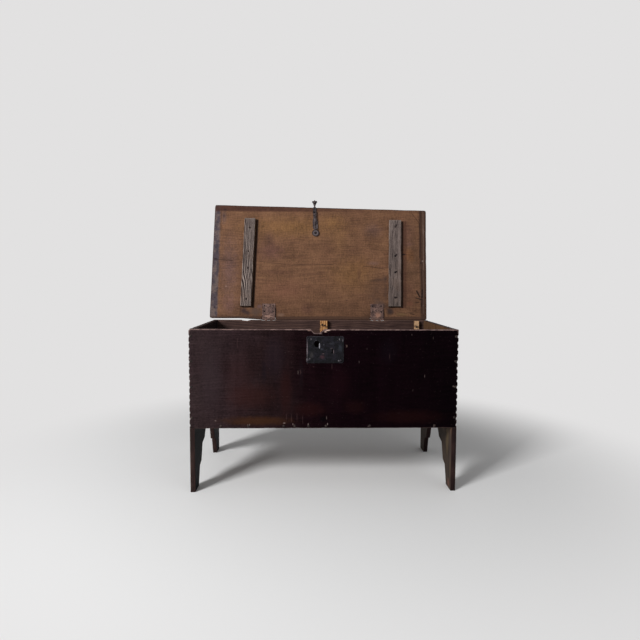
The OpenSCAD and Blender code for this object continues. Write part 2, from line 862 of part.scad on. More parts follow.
module lid_outline() {
    corner_parts = [0 : 0.125 : 1];
    notch_half = hinge_w / 2 + hinge_notch_room;
    notch_y = pin_y - knuckle_r - gain_room;
    difference() {
        polygon([
            for (i = [0 : 2]) for (part = corner_parts) corner_point(i, part),
            [hinge_places[0], lid_back + lid_back_step],
            [hinge_places[0] - lid_back_run, lid_back],
            for (part = corner_parts) corner_point(3, part)
        ]);
        for (x = hinge_places)
            translate([x - notch_half, notch_y])
                square([2 * notch_half, lid_back + lid_back_step + eps - notch_y]);
    }
}

module lid_board() {
    color(lid_wood) on_lid() difference() {
        translate([0, 0, lid_z]) linear_extrude(lid_t) lid_outline();
        nail_holes(lid_leaf_nail_places, up, tack_side, lid_tack_len);
        nail_holes(strap_nail_places, up, tack_side, strap_tack_len);
        nail_holes(left_cleat_nails, up, nail_side, left_cleat_nail_len);
        nail_holes(right_cleat_nails, up, nail_side, right_cleat_nail_len);
    }
}

module cleat(ends, w, t) {
    half = [w / 2, 0];
    translate([0, 0, lid_z - t]) linear_extrude(t)
        polygon([ends[0] - half, ends[1] - half, ends[1] + half, ends[0] + half]);
}

module left_cleat() {
    color(grey_wood) on_lid() difference() {
        cleat(left_cleat_ends, left_cleat_w, left_cleat_t);
        nail_holes(left_cleat_nails, up, nail_side, left_cleat_nail_len);
    }
}

module right_cleat() {
    color(grey_wood) on_lid() difference() {
        cleat(right_cleat_ends, right_cleat_w, right_cleat_t);
        nail_holes(right_cleat_nails, up, nail_side, right_cleat_nail_len);
    }
}

module cleat_nails() {
    color(rust_iron) on_lid() {
        board_nails(left_cleat_nails, up, left_cleat_nail_len);
        board_nails(right_cleat_nails, up, right_cleat_nail_len);
    }
}

// An outline that is the same on both sides, from the half widths and places down one side
module both_sides(side) {
    polygon(concat(side, [for (i = [len(side) - 1 : -1 : 0]) [-side[i][0], side[i][1]]]));
}

// Hasp strap: knuckles at the joint, a neck, a broad part, a waist and a round end
module strap_outline() {
    neck = strap_w / 2 - 1;
    broad = 12.5;
    waist = 6;
    both_sides([
        [neck, hasp_knuckle_r + 1], [neck, strap_len * 0.3], [broad, strap_len * 0.46],
        [broad, strap_len * 0.78], [waist, strap_len * 0.83], [waist, strap_len - penny_r / 2]
    ]);
    translate([0, strap_len]) circle(r = penny_r);
}

module hasp_strap() {
    half = hasp_knuckle / 2;
    foot_y = hasp_pin_y + hasp_knuckle_r + strap_t;
    foot_z = lid_z - strap_t / 4;
    color(rust_iron) on_lid() difference() {
        union() {
            translate([hasp_x, hasp_pin_y, lid_z - strap_t]) rotate([0, 0, -strap_turn])
                linear_extrude(strap_t) strap_outline();
            for (side = [-1, 1]) translate([hasp_x + side * (hasp_knuckle + knuckle_gap), 0, 0]) {
                x_rod(-half, half, hasp_pin_y, hasp_pin_z, hasp_knuckle_r);
                block([-half, hasp_pin_y, foot_z - strap_t], [half, foot_y, foot_z]);
            }
        }
        x_rod(hasp_x - strap_w, hasp_x + strap_w, hasp_pin_y, hasp_pin_z, hasp_pin_r + pin_gap);
        nail_holes(strap_nail_places, up, tack_side, strap_tack_len);
    }
}

module hasp_strap_nails() {
    color(rust_iron) on_lid() tacks(strap_nail_places, up, strap_tack_len);
}

module hasp_pin() {
    half = strap_w / 2 + pin_end;
    color(rust_iron) on_lid() x_rod(hasp_x - half, hasp_x + half, hasp_pin_y, hasp_pin_z, hasp_pin_r);
}

// Hasp leaf: it hangs from the joint, narrows to a neck and spreads into a fish-tail
module leaf_outline() {
    shoulder = strap_w / 2 - 1;
    neck = 3.5;
    neck_z = -hasp_len * 0.5;
    tip = fishtail_w / 2;
    difference() {
        both_sides([
            [shoulder, -hasp_knuckle_r - 1], [shoulder, neck_z + 6], [neck, neck_z + 2], [neck, neck_z - 2],
            [tip - 5, -hasp_len + 12], [tip, -hasp_len + 5], [tip - 3, -hasp_len]
        ]);
        translate([0, -hasp_len - 4]) circle(r = 6);
    }
}

module hasp_leaf() {
    half = hasp_knuckle / 2;
    front = leaf_back_y - strap_t;
    color(rust_iron) on_hasp() difference() {
        union() {
            translate([hasp_x, leaf_back_y, hasp_pin_z]) rotate([90, 0, 0]) linear_extrude(strap_t)
                leaf_outline();
            x_rod(hasp_x - half, hasp_x + half, hasp_pin_y, hasp_pin_z, hasp_knuckle_r);
            block([hasp_x - half, front, hasp_pin_z - hasp_knuckle_r - 2],
                [hasp_x + half, leaf_back_y, hasp_pin_z]);
        }
        x_rod(hasp_x - strap_w, hasp_x + strap_w, hasp_pin_y, hasp_pin_z, hasp_pin_r + pin_gap);
        for (side = [-1, 1])
            y_rod(hasp_x, front - eps, leaf_back_y + eps, staple_leg_z(side), tenon_r + pin_gap);
    }
}

function staple_leg_z(side) = staple_z + side * (staple_hole_h + staple_bar) / 2;

// Staple: a loop on the back of the leaf, with a tenon on each leg
module hasp_staple() {
    bar_front = bolt_back + staple_play;
    bar_back = bar_front + staple_bar;
    outer_h = staple_hole_h + 2 * staple_bar;
    color(rust_iron) on_hasp() {
        difference() {
            block([hasp_x - staple_w / 2, leaf_back_y, staple_z - outer_h / 2],
                [hasp_x + staple_w / 2, bar_back, staple_z + outer_h / 2]);
            block([hasp_x - staple_w, leaf_back_y - eps, staple_z - staple_hole_h / 2],
                [hasp_x + staple_w, bar_front, staple_z + staple_hole_h / 2]);
        }
        for (side = [-1, 1])
            y_rod(hasp_x, leaf_back_y - strap_t, leaf_back_y + eps, staple_leg_z(side), tenon_r);
    }
}

front_board();
back_board();
left_end_board();
right_end_board();
bottom_board();
centre_batten();
right_batten();
front_nails();
back_nails();
end_nails();
batten_nails();
lock_plate();
lock_plate_nails();
bolt_keeper();
bolt_guide();
bolt_stud();
lock_spring();
key_guard();
left_hinge_back_leaf();
right_hinge_back_leaf();
left_hinge_pin();
right_hinge_pin();
hinge_back_nails();
lid_board();
left_cleat();
right_cleat();
cleat_nails();
left_hinge_lid_leaf();
right_hinge_lid_leaf();
hinge_lid_nails();
hasp_strap();
hasp_strap_nails();
hasp_pin();
hasp_leaf();
hasp_staple();
lock_bolt();
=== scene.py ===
"""Plank coffer with its lid thrown open: worn boards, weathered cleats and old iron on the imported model.

Metres, +Z up. The front faces -Y, and +X is to the right of someone who looks at it. The boards are
drawn on their own axes: a runs along the grain, c across it, and d into the wood from the face.
Colours are display values from 0 to 255, and turn linear where they enter a node.
"""
import json
import math
from functools import cached_property

import bpy
import numpy as np
from mathutils import Matrix, Vector, noise


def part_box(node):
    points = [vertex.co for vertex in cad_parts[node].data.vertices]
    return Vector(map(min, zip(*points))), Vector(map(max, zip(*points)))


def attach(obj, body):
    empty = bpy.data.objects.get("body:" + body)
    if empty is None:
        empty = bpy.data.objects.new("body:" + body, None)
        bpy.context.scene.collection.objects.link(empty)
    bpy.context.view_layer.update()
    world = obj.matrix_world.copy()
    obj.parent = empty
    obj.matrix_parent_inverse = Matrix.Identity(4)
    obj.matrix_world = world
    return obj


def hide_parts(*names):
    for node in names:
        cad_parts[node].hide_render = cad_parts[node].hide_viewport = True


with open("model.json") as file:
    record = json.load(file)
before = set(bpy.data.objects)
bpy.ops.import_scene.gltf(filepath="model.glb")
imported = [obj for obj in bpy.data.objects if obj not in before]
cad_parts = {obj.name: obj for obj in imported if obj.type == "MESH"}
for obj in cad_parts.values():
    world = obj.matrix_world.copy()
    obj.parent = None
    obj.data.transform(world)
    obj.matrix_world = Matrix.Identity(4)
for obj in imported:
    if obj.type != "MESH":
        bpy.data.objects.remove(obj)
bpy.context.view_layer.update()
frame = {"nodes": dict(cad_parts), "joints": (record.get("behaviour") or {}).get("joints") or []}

MM = 0.001
TINY = 1e-12

# Camera, in the frame of the model
CAMERA_AT = (-0.064, -2.2249, 0.8152)
CAMERA_PITCH = 0.0700
CAMERA_YAW = 0.0244
CAMERA_ROLL = 0.0044
CAMERA_LENS = 27.81
CAMERA_SENSOR = 36

# Stage and lights: a light is its place, its size and its power in watts
BACKDROP = (226, 225, 225)
FLOOR_PAINT = (236, 236, 236)
FLOOR_R = 12
FLOOR_SIDES = 48
FLOOR_FADE = (0.8, 1.8)
AMBIENT = 0.28
LIGHTS_AIM = (0, 0, 0.6)
KEY_LIGHT = ((-3.7, -4.0, 3.1), 1.5, 350)
FILL_LIGHT = ((2.2, -3.4, 1.6), 2.5, 12)

# Meshes: angle that stays smooth, cosine below which a corner is sharp, and the most of a board's
# thickness that an arris takes
SMOOTH_ANGLE = math.radians(40)
SHARP_COSINE = 0.95
ARRIS_SHARE = 0.42
ARRIS_TURNS = [math.radians(angle) for angle in (0, 30, 60, 90)]

# Front board: nicks down its ends, worn notch in its top edge as shares of half its width and its depth,
# and the pocket behind the lock plate as x, height and depth
NICK_PITCH = 25 * MM
NICK_R = 9 * MM
NICK_DEPTH = 3.2 * MM
LEFT_NICK_DEPTH = 2.2 * MM
NICK_ROWS = (-6.9, -4.7, -2.4, 0, 2.4, 4.7, 6.9)
ROWS_APART = 1.5 * MM
CORNER_R = 8 * MM
NOTCH_X = -26 * MM
NOTCH_W = 52 * MM
NOTCH_DEPTH = 14 * MM
NOTCH_SHAPE = ((-1, 0), (-0.73, -0.6), (-0.42, -1), (0.27, -1), (0.65, -0.5), (1, 0))
POCKET = (-51 * MM, 61 * MM, 542 * MM, 605.5 * MM, 14 * MM)

# Back board: dip in its top edge as x and height, and the gains of the hinges
BACK_DIP = ((-345, 0), (-362, -5), (-385, -3), (-391, 0))
HINGE_X = (-258 * MM, 278 * MM)
HINGE_GAIN_HALF = 33 * MM
HINGE_GAIN_DEPTH = 3 * MM

# End boards: half of the foot's outline, as distances from the face and heights
FOOT_SIDE = ((65, 0), (89, 77), (119, 87), (143, 154), (188, 164))
ARCH_RISE = 50 * MM
SHOULDER = 19.1 * MM
SHOULDER_GAP = 0.1 * MM

# Lid: its corners as x and distance from the pin's line, the notches of its hinges, and the length over
# which its back edge runs back to the left hinge
LID_OPEN = math.radians(99)
LID_BACK_BEFORE_PIN = 8.2 * MM
LID_UNDER_BELOW_PIN = 3.2 * MM
LID_T = 20 * MM
LID_CORNERS = ((-548, -4), (526, -13), (532, 545), (-531, 566))
LID_CORNER_R = 10 * MM
LID_CORNER_STEPS = 6
LID_CELL = (0.0075, 0.014)
LID_NOTCH = -0.7 * MM
LID_RUN = 140 * MM
HINGE_NOTCH_HALF = 33.2 * MM

# Cleats, as x and distance from the lid's back edge at both ends, width and thickness
LEFT_CLEAT = ((-370, 54), (-354, 495), 53, 18)
RIGHT_CLEAT = ((366, 54), (373, 491), 61, 16)

# Nails of the battens, under their tops, in millimetres
BATTEN_NAIL_DROP = 27

# Lock plate: its D-shaped slot as an arc and the sides that cut it, and its keyhole
PLATE_CORNER = 5 * MM
SLOT_MIDDLE = (-23.9 * MM, 589.5 * MM)
SLOT_R = 15.4 * MM
SLOT_SIDES = (-39.3 * MM, -21.8 * MM, 576.5 * MM, 599.5 * MM)
KEYHOLE = (31 * MM, 566.2 * MM)
KEYHOLE_R = 3.5 * MM
KEYHOLE_W = 5 * MM
KEYHOLE_DROP = 14 * MM

# Marks: stains, chips and holes, and painted shadows and highlights, each laid over those before it. A row
# is the mark's place and its radii in millimetres, its tone, its strength, and where they differ how ragged
# and how soft its edge is.
# Those on the front, the plate and the lid run along x, on the cleats and the ends along the grain.
USUAL_EDGE = (0.6, 0.8)
FRONT_STAINS = (
    (-335, 430, 80, 180, (50, 29, 29), 0.3), (-195, 540, 60, 120, (34, 26, 32), 0.4),
    (-440, 450, 60, 190, (47, 38, 41), 0.35), (-150, 400, 34, 130, (40, 17, 15), 0.4),
    (-282, 383, 130, 70, (48, 25, 22), 0.4), (-264, 285, 190, 26, (60, 36, 20), 0.6),
    (330, 300, 190, 40, (27, 10, 9), 0.5), (-2, 291, 20, 14, (5, 3, 5), 0.9),
    (-234, 477, 14, 60, (24, 18, 23), 0.5), (60, 440, 60, 90, (26, 9, 13), 0.4),
    (-90, 470, 12, 90, (22, 15, 19), 0.4), (250, 560, 50, 70, (14, 9, 14), 0.4),
    (120, 340, 60, 40, (26, 10, 10), 0.5), (-60, 330, 90, 40, (34, 13, 12), 0.5),
)
PALE = (124, 108, 104)
FAINT = (62, 45, 45)
FRONT_CHIPS = (
    (4, 636, 8, 4, (176, 150, 138), 0.9), (12, 641, 14, 3, (196, 170, 156), 0.95),
    (-38, 629, 9, 2.5, (110, 94, 90), 0.7), (-14, 628, 8, 2.5, (122, 106, 102), 0.7),
    (-60, 640, 9, 2, (142, 114, 104), 0.8), (-38, 634, 7, 2, (112, 92, 86), 0.8),
    (-524, 559, 4, 5, PALE, 0.7), (-522, 530, 4, 3, PALE, 0.7), (-521, 505, 4, 4, PALE, 0.5),
    (-522, 452, 4, 3, PALE, 0.5), (-520, 296, 3, 4, PALE, 0.9), (-424, 286, 5, 3, PALE, 0.5),
    (-298, 266, 2.4, 8, PALE, 0.8), (-291, 270, 2, 5, PALE, 0.6), (-156, 276, 6, 2.4, PALE, 0.8),
    (-122, 271, 2.4, 6, PALE, 0.7), (-62, 269, 2.4, 8, PALE, 0.8), (14, 272, 2.4, 6, PALE, 0.9),
    (10, 297, 2, 10, PALE, 0.4), (178, 262, 8, 2.4, PALE, 0.7), (434, 259, 5, 3, PALE, 0.7),
    (136, 518, 1.8, 7, PALE, 0.25), (341, 625, 1.8, 5, PALE, 0.25), (425, 612, 1.8, 8, PALE, 0.2),
    (166, 569, 1.8, 5, PALE, 0.15), (394, 462, 2, 9, PALE, 0.35), (348, 405, 1.8, 5, PALE, 0.15),
    (508, 422, 5, 2.4, PALE, 0.7), (87, 580, 4, 7, (96, 78, 72), 0.6), (-102, 477, 2, 12, PALE, 0.3),
    (-42, 499, 5, 3, FAINT, 0.5), (-66, 512, 4, 6, FAINT, 0.4), (-147, 300, 1.8, 24, FAINT, 0.6),
    (-128, 296, 1.8, 30, FAINT, 0.6), (-106, 300, 1.8, 22, FAINT, 0.6), (-84, 290, 1.8, 24, FAINT, 0.5),
    (-92, 478, 2.4, 12, FAINT, 0.7), (30, 500, 2, 16, FAINT, 0.5), (255, 540, 2, 16, FAINT, 0.5),
    (-336, 590, 2, 30, FAINT, 0.5),
)
# Tone of the painted glints on the plate's nail heads.
PAINTED_GLINT = (92, 88, 92)
# Painted highlights: the glints on the nails, the bright lip beside the slot, the bright left edge and the
# curve right of the keyhole; the reddish patch low in the middle is rust.
PLATE_MARKS = (
    (-8, 537, 13, 12, (52, 31, 37), 0.8), (-10, 568, 8, 6, (50, 51, 59), 0.7),
    (-50, 545, 12, 20, (46, 43, 44), 0.6), (62, 570, 12, 22, (38, 41, 47), 0.7),
    (-5, 550, 8, 2.4, (80, 64, 68), 0.8), (28, 571, 6, 3, (62, 54, 56), 0.8),
    (36, 558, 3, 12, (80, 68, 72), 0.9), (-2.2, 585.7, 3.5, 3.5, (66, 66, 72), 0.8),
    (-32.4, 603, 2.6, 3, (72, 72, 78), 0.8), (71, 603, 2.5, 9, PAINTED_GLINT, 0.8),
    (-19.2, 581, 2.6, 12.5, (132, 132, 138), 1.0, 0.3, 0.4),
    (-66.5, 566, 3.4, 50, (96, 86, 90), 0.9, 0.9, 0.8), (-57, 530, 4, 5, PAINTED_GLINT, 0.8),
    (-53, 607, 5, 5, PAINTED_GLINT, 0.9), (60, 607, 5, 6, (112, 108, 112), 0.9), (56, 523, 5, 5, PAINTED_GLINT, 0.9),
    (-68, 527, 4, 8, PAINTED_GLINT, 0.8), (-30, 617, 30, 2, (60, 58, 64), 0.5), (60, 545, 14, 26, (9, 8, 12), 0.7),
    (30, 590, 18, 8, (34, 34, 40), 0.7), (-40, 560, 14, 10, (16, 14, 18), 0.8),
    (10, 515, 56, 5, (8, 7, 10), 0.7), (73, 545, 4, 30, (7, 6, 9), 0.7),
)
GOLD = (118, 85, 52)
ROSY = (92, 63, 55)
LID_TONES = (
    (-150, 455, 420, 85, GOLD, 0.75, 0.9, 1.2), (150, 210, 180, 130, GOLD, 0.6, 0.9, 1.2),
    (450, 280, 74, 300, (90, 65, 49), 0.6), (430, 320, 60, 40, (116, 76, 48), 0.5),
    (-455, 240, 66, 260, (95, 71, 67), 0.8, 0.9, 1.2), (-452, 60, 62, 76, (108, 78, 70), 0.8, 0.9, 1.2),
    (-68, 38, 44, 40, (84, 56, 48), 0.5, 0.9, 0.8), (60, 480, 90, 60, GOLD, 0.6, 0.9, 1.2),
    (90, 400, 70, 120, (116, 84, 56), 0.6, 0.9, 1.2), (340, 80, 100, 70, (88, 61, 46), 0.35, 0.9, 1.2),
    (200, 260, 120, 60, (114, 80, 52), 0.5, 0.9, 1.2), (-486, 505, 20, 52, (84, 66, 62), 0.6),
    (-470, 296, 60, 26, (80, 58, 50), 0.5), (-200, 226, 150, 24, (86, 58, 46), 0.5, 0.9, 1.0),
    (-250, 330, 100, 70, ROSY, 0.8, 0.9, 1.0), (-180, 130, 190, 90, (102, 68, 54), 0.6, 0.9, 1.1),
    (262, 440, 70, 60, (86, 64, 58), 0.6, 0.9, 1.0), (172, 470, 60, 24, (86, 60, 46), 0.5, 0.9, 1.2),
    (280, 140, 90, 100, (78, 56, 45), 0.7, 0.9, 1.2), (120, 50, 330, 55, (88, 62, 47), 0.5, 0.9, 1.2),
    (440, 430, 60, 90, ROSY, 0.5, 0.9, 1.2), (440, 130, 60, 110, (90, 61, 48), 0.6, 0.9, 1.2),
    (262, 272, 45, 18, (106, 80, 72), 0.6, 0.9, 1.0), (445, 372, 30, 18, (98, 70, 64), 0.5, 0.9, 1.0),
    (452, 292, 30, 22, (112, 76, 50), 0.5, 0.9, 1.0), (-260, 395, 40, 60, (88, 62, 54), 0.5, 0.9, 1.0),
)
DARK = (40, 30, 32)
STAIN = (58, 44, 40)
# Near black: dark marks, nail spots and a knot, and also the painted shadows right of the hinges.
BLACK_MARK_AND_SHADOW = (18, 13, 14)
INK = (50, 46, 52)
# The first mark is the painted shadow of the hasp's ring, and the narrow near-black marks at x -224 and 313,
# right of the hinges, are painted shadows.
LID_MARKS = (
    (-20, 420, 19, 18, (26, 16, 13), 0.85, 0.2, 0.4), (-519, 346, 14, 34, INK, 0.7),
    (-512, 250, 11, 40, INK, 0.65), (-522, 470, 14, 30, INK, 0.5), (-530, 180, 12, 50, INK, 0.35),
    (-523, 291, 14, 7, DARK, 0.9), (-514, 130, 6, 26, DARK, 0.5), (-524, 98, 5, 5, DARK, 0.9),
    (-524, 49, 6, 8, DARK, 0.7), (-486, 510, 8, 12, DARK, 0.6), (-482, 541, 14, 7, DARK, 0.6),
    (-470, 153, 6, 7, (132, 106, 96), 0.7), (-380, 32, 20, 24, (54, 40, 40), 0.9, 0.8, 0.8),
    (-362, 22, 22, 18, (60, 45, 43), 0.9, 0.9, 0.8), (-322, 27, 42, 28, (82, 65, 57), 0.8, 0.8, 0.8),
    (-304, 53, 18, 14, (98, 76, 76), 0.7), (-198, 12, 26, 12, (122, 96, 82), 0.6),
    (-224, 22, 5, 30, BLACK_MARK_AND_SHADOW, 0.8), (313, 14, 5, 24, BLACK_MARK_AND_SHADOW, 0.9), (506, 78, 9, 9, (42, 26, 30), 0.8),
    (510, 60, 4, 5, (104, 90, 92), 0.6), (322, 193, 26, 30, STAIN, 0.85, 0.5, 1.2),
    (292, 189, 36, 14, STAIN, 0.75, 0.4, 1.2), (262, 184, 30, 8, STAIN, 0.6, 0.4, 1.2),
    (324, 125, 20, 66, STAIN, 0.6, 0.8, 1.2), (312, 58, 46, 30, STAIN, 0.75, 0.8, 1.2),
    (262, 100, 50, 22, STAIN, 0.3, 0.9, 1.2), (343, 30, 26, 26, (48, 38, 38), 0.85),
    (400, 16, 40, 14, (108, 84, 58), 0.6), (190, 215, 12, 50, (90, 62, 46), 0.5),
    (254, 60, 8, 8, (34, 23, 23), 0.8), (286, 66, 44, 34, (78, 64, 60), 0.5),
    (129, 85, 7, 6, (62, 40, 36), 0.6), (446, 25, 30, 5, (60, 42, 34), 0.6),
    (444, 70, 24, 20, (104, 66, 52), 0.5), (502, 275, 6, 7, (26, 18, 18), 0.9),
    (510, 285, 5, 5, (150, 130, 120), 0.6), (516, 440, 3, 40, (140, 118, 108), 0.6),
    (503, 380, 3, 70, (40, 24, 22), 0.7),
)
CLEAT_MARKS = (
    (88, -372, 30, 17, (108, 94, 87), 0.85), (464, -377, 7, 7, BLACK_MARK_AND_SHADOW, 0.9, 0.2, 0.8),
    (313, -376, 8, 8, BLACK_MARK_AND_SHADOW, 0.9, 0.2, 0.8), (228, -375, 7, 8, BLACK_MARK_AND_SHADOW, 0.9, 0.2, 0.8),
    (99, -374, 8, 8, BLACK_MARK_AND_SHADOW, 0.9, 0.2, 0.8), (300, -390, 230, 11, (134, 118, 112), 0.5, 0.9, 1.0),
    (440, 372, 70, 12, (62, 52, 52), 0.5, 0.9, 1.0), (300, 380, 160, 9, (66, 56, 54), 0.5, 0.9, 1.0),
    (470, 356, 40, 22, (70, 59, 58), 0.5, 0.9, 1.0),
)
FOOT_MARKS = (
    (22, 500, 26, 22, (108, 72, 62), 0.6), (95, 518, 70, 6, (104, 84, 64), 0.7),
    (190, 470, 80, 26, (86, 72, 50), 0.6), (170, 513, 100, 9, (78, 62, 60), 0.6),
)
PENNY = (-27, 425.5)
# On the strap, the light mark is a painted highlight on its left half and the dark mark painted shade on its
# right half.
HASP_MARKS = (
    (-24, 480, 5, 46, (18, 13, 14), 0.7), (-33, 470, 3.5, 50, (92, 80, 80), 0.6),
    (*PENNY, 19, 19, (26, 20, 21), 0.8, 0.2, 0.2), (*PENNY, 15, 15, (92, 82, 83), 0.85, 0.2, 0.25),
    (*PENNY, 8.5, 8.5, (16, 12, 13), 0.95, 0.2, 0.35),
)
# The two light marks at the foot of the hinges, on their knuckles, are rust colour with a painted highlight.
HINGE_MARKS = (
    (-262, 4, 28, 11, (168, 134, 120), 0.65), (-276, 58, 14, 12, (134, 110, 102), 0.5),
    (-250, 34, 18, 22, (84, 66, 64), 0.5), (282, 12, 20, 20, (164, 122, 102), 0.65),
    (262, 58, 26, 14, (62, 46, 44), 0.7), (298, 56, 10, 14, (72, 52, 48), 0.6),
)
NAIL_MARKS = (
    (-356, 330, 34, 200, (74, 62, 57), 0.8, 0.2, 0.8), (374, 280, 30, 250, (14, 10, 10), 0.9, 0.2, 0.8),
)

# Lines on the lid: both ends, half the width, how far it wanders, its tone and its strength
STROKE_CORE = 0.3
STROKE_END = 4
# Tone of the painted shadows on the lid: beside and below the cleats, right of the hasp's strap and right of
# the hinges.
PAINTED_SHADOW = (30, 18, 14)
CRACK = (44, 29, 24)
# Strokes in the (30, 18, 14) tone, and the wide soft one in (58, 34, 28) right of the right cleat, are
# painted shadows.
LID_STROKES = (
    ((-540, 290), (-440, 284), 2.2, 9, CRACK, 0.8), ((-310, 280), (-150, 262), 1.8, 9, CRACK, 0.5),
    ((-150, 262), (60, 266), 2.0, 9, CRACK, 0.6), ((210, 258), (262, 253), 2.0, 6, CRACK, 0.6),
    ((262, 253), (322, 242), 2.0, 6, CRACK, 0.7), ((-336, 46), (-319, 492), 10, 0, PAINTED_SHADOW, 0.9),
    ((-396, 50), (-344, 50), 4, 0, PAINTED_SHADOW, 0.6), ((415, 48), (422, 488), 17, 5, (58, 34, 28), 0.55),
    ((404, 48), (410, 488), 9, 0, PAINTED_SHADOW, 0.85), ((336, 50), (396, 50), 4, 0, PAINTED_SHADOW, 0.6),
    ((-398, 10), (-398, 60), 2.5, 3, CRACK, 0.6), ((-13, 418), (-18, 530), 6, 3, PAINTED_SHADOW, 0.8),
    ((-223, 4), (-223, 50), 4.5, 4, PAINTED_SHADOW, 0.8), ((313, 4), (313, 42), 4.5, 4, PAINTED_SHADOW, 0.8),
    ((503, 545), (497, 300), 3.5, 9, (36, 23, 20), 0.7),
    ((517, 540), (514, 240), 2.0, 4, (124, 103, 92), 0.65), ((506, 250), (502, 20), 4.5, 9, CRACK, 0.6),
    ((459, 534), (497, 480), 2.4, 8, CRACK, 0.7), ((497, 480), (503, 275), 2.6, 6, CRACK, 0.7),
    ((477, 136), (494, 102), 5, 0, BLACK_MARK_AND_SHADOW, 0.95), ((489, 138), (501, 108), 2.6, 0, (96, 76, 66), 0.6),
    ((506, 142), (505, 98), 5, 4, BLACK_MARK_AND_SHADOW, 0.85), ((472, 99), (511, 88), 3.6, 2, BLACK_MARK_AND_SHADOW, 0.9),
    ((470, 74), (489, 76), 3, 2, CRACK, 0.9), ((502, 73), (503, 54), 3.6, 3, BLACK_MARK_AND_SHADOW, 0.85),
    ((458, 33), (476, 34), 3, 2, CRACK, 0.8), ((444, 20), (465, 15), 3.6, 2, CRACK, 0.8),
    ((513, 240), (511, 20), 3.5, 6, (86, 70, 62), 0.5), ((406, 318), (424, 319), 5.5, 0, BLACK_MARK_AND_SHADOW, 0.9),
    ((424, 319), (470, 313), 1.6, 4, CRACK, 0.6), ((372, 30), (430, 20), 1.6, 8, CRACK, 0.6),
    ((380, 12), (440, 6), 1.5, 8, CRACK, 0.6), ((160, 140), (204, 232), 1.4, 12, CRACK, 0.4),
    ((-500, 548), (-500, 440), 3.0, 9, CRACK, 0.5),
)

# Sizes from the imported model
front_low, front_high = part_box("front_board")
back_low, back_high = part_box("back_board")
left_low, left_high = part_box("left_end_board")
right_low, right_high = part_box("right_end_board")
bottom_low, bottom_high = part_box("bottom_board")
plate_low, plate_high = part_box("lock_plate")
batten_low, batten_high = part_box("centre_batten")
chest_top = front_high.z
half_w = front_high.x
front_thick = front_high.y - front_low.y
end_thick = left_high.x - left_low.x

# The open lid's own axes: its back left corner, the way up it, and the way into its wood
joints = {joint["name"]: joint for joint in frame["joints"]}
pin = Vector(joints["lid_hinge"]["pos_m"])
turn_lid = Matrix.Rotation(-LID_OPEN, 3, "X")
lid_origin = pin + turn_lid @ Vector((0, -LID_BACK_BEFORE_PIN, -LID_UNDER_BELOW_PIN))
lid_up = turn_lid @ Vector((0, -1, 0))
lid_deep = turn_lid @ Vector((0, 0, 1))


# Outlines and grids in a board's own plane

def inside(points, loop):
    """Which of the points lie inside a closed loop."""
    start, end = loop, np.roll(loop, -1, axis=0)
    hit = np.zeros(len(points), bool)
    for (x0, y0), (x1, y1) in zip(start, end):
        if y0 == y1:
            continue
        crosses = (y0 > points[:, 1]) != (y1 > points[:, 1])
        hit ^= crosses & (points[:, 0] < x0 + (points[:, 1] - y0) * (x1 - x0) / (y1 - y0))
    return hit


def within(points, loops):
    """Which of the points lie inside the first loop and outside the others."""
    keep = inside(points, loops[0])
    for hole in loops[1:]:
        keep &= ~inside(points, hole)
    return keep


def nearest(points, loops):
    """Nearest place on the loops to each point, and the distance to it."""
    best = np.full(len(points), np.inf)
    place = points.copy()
    for loop in loops:
        for start, end in zip(loop, np.roll(loop, -1, axis=0)):
            step = end - start
            part = np.clip((points - start) @ step / (step @ step), 0, 1)
            here = start + part[:, None] * step
            gap = np.linalg.norm(points - here, axis=1)
            closer = gap < best
            best[closer] = gap[closer]
            place[closer] = here[closer]
    return place, best


def grid_lines(fixed, cell):
    """Fixed lines, and evenly spaced ones between them that are about a cell apart."""
    fixed = sorted(fixed)
    lines = []
    for low, high in zip(fixed, fixed[1:]):
        count = max(1, round((high - low) / cell))
        lines += [low + (high - low) * i / count for i in range(count)]
    return np.array(lines + [fixed[-1]])


def face_grid(a, c, warp):
    """Points where the lines a and c cross, and the corners of each cell between them."""
    points = np.array([(x, y) for x in a for y in c])
    n = len(c)
    cells = np.array([(i * n + j, (i + 1) * n + j, (i + 1) * n + j + 1, i * n + j + 1)
                      for i in range(len(a) - 1) for j in range(n - 1)])
    return warp(points) if warp else points, cells


def ripple(points, size, seed):
    """Smooth noise from 0 to 1 at each point, with bumps of about the given size along each axis."""
    scaled = points / np.array(size) + (seed * 1.7, 0, seed)
    values = np.array([noise.noise(Vector(point)) for point in scaled])
    return np.clip(values * 0.8 + 0.5, 0, 1)


def outer_sides(cells):
    """Directed sides that only one of the cells has."""
    sides = {}
    for quad in cells:
        for k in range(4):
            start, end = int(quad[k]), int(quad[(k + 1) % 4])
            if (end, start) in sides:
                del sides[(end, start)]
            else:
                sides[(start, end)] = True
    return list(sides)


class Board:
    """Axes of a board: where its corner is, the way its grain runs, and the way across it."""

    def __init__(self, origin, along, across):
        self.origin = Vector(origin)
        self.along = Vector(along).normalized()
        self.across = Vector(across).normalized()
        self.depth = self.across.cross(self.along)

    def place(self, coords):
        turn = np.array((self.along, self.across, self.depth))
        return np.array(self.origin) + coords @ turn


class Wear:
    """How a board is worn: the radius of its arrises, and how uneven its faces and its edges are."""

    def __init__(self, arris=1.2, chips=2.0, face=0.35, edge=0.5, grain=(0.30, 0.05), seed=1):
        self.arris = arris * MM
        self.chips = chips * MM
        self.face = face * MM
        self.edge = edge * MM
        self.grain = grain
        self.seed = seed


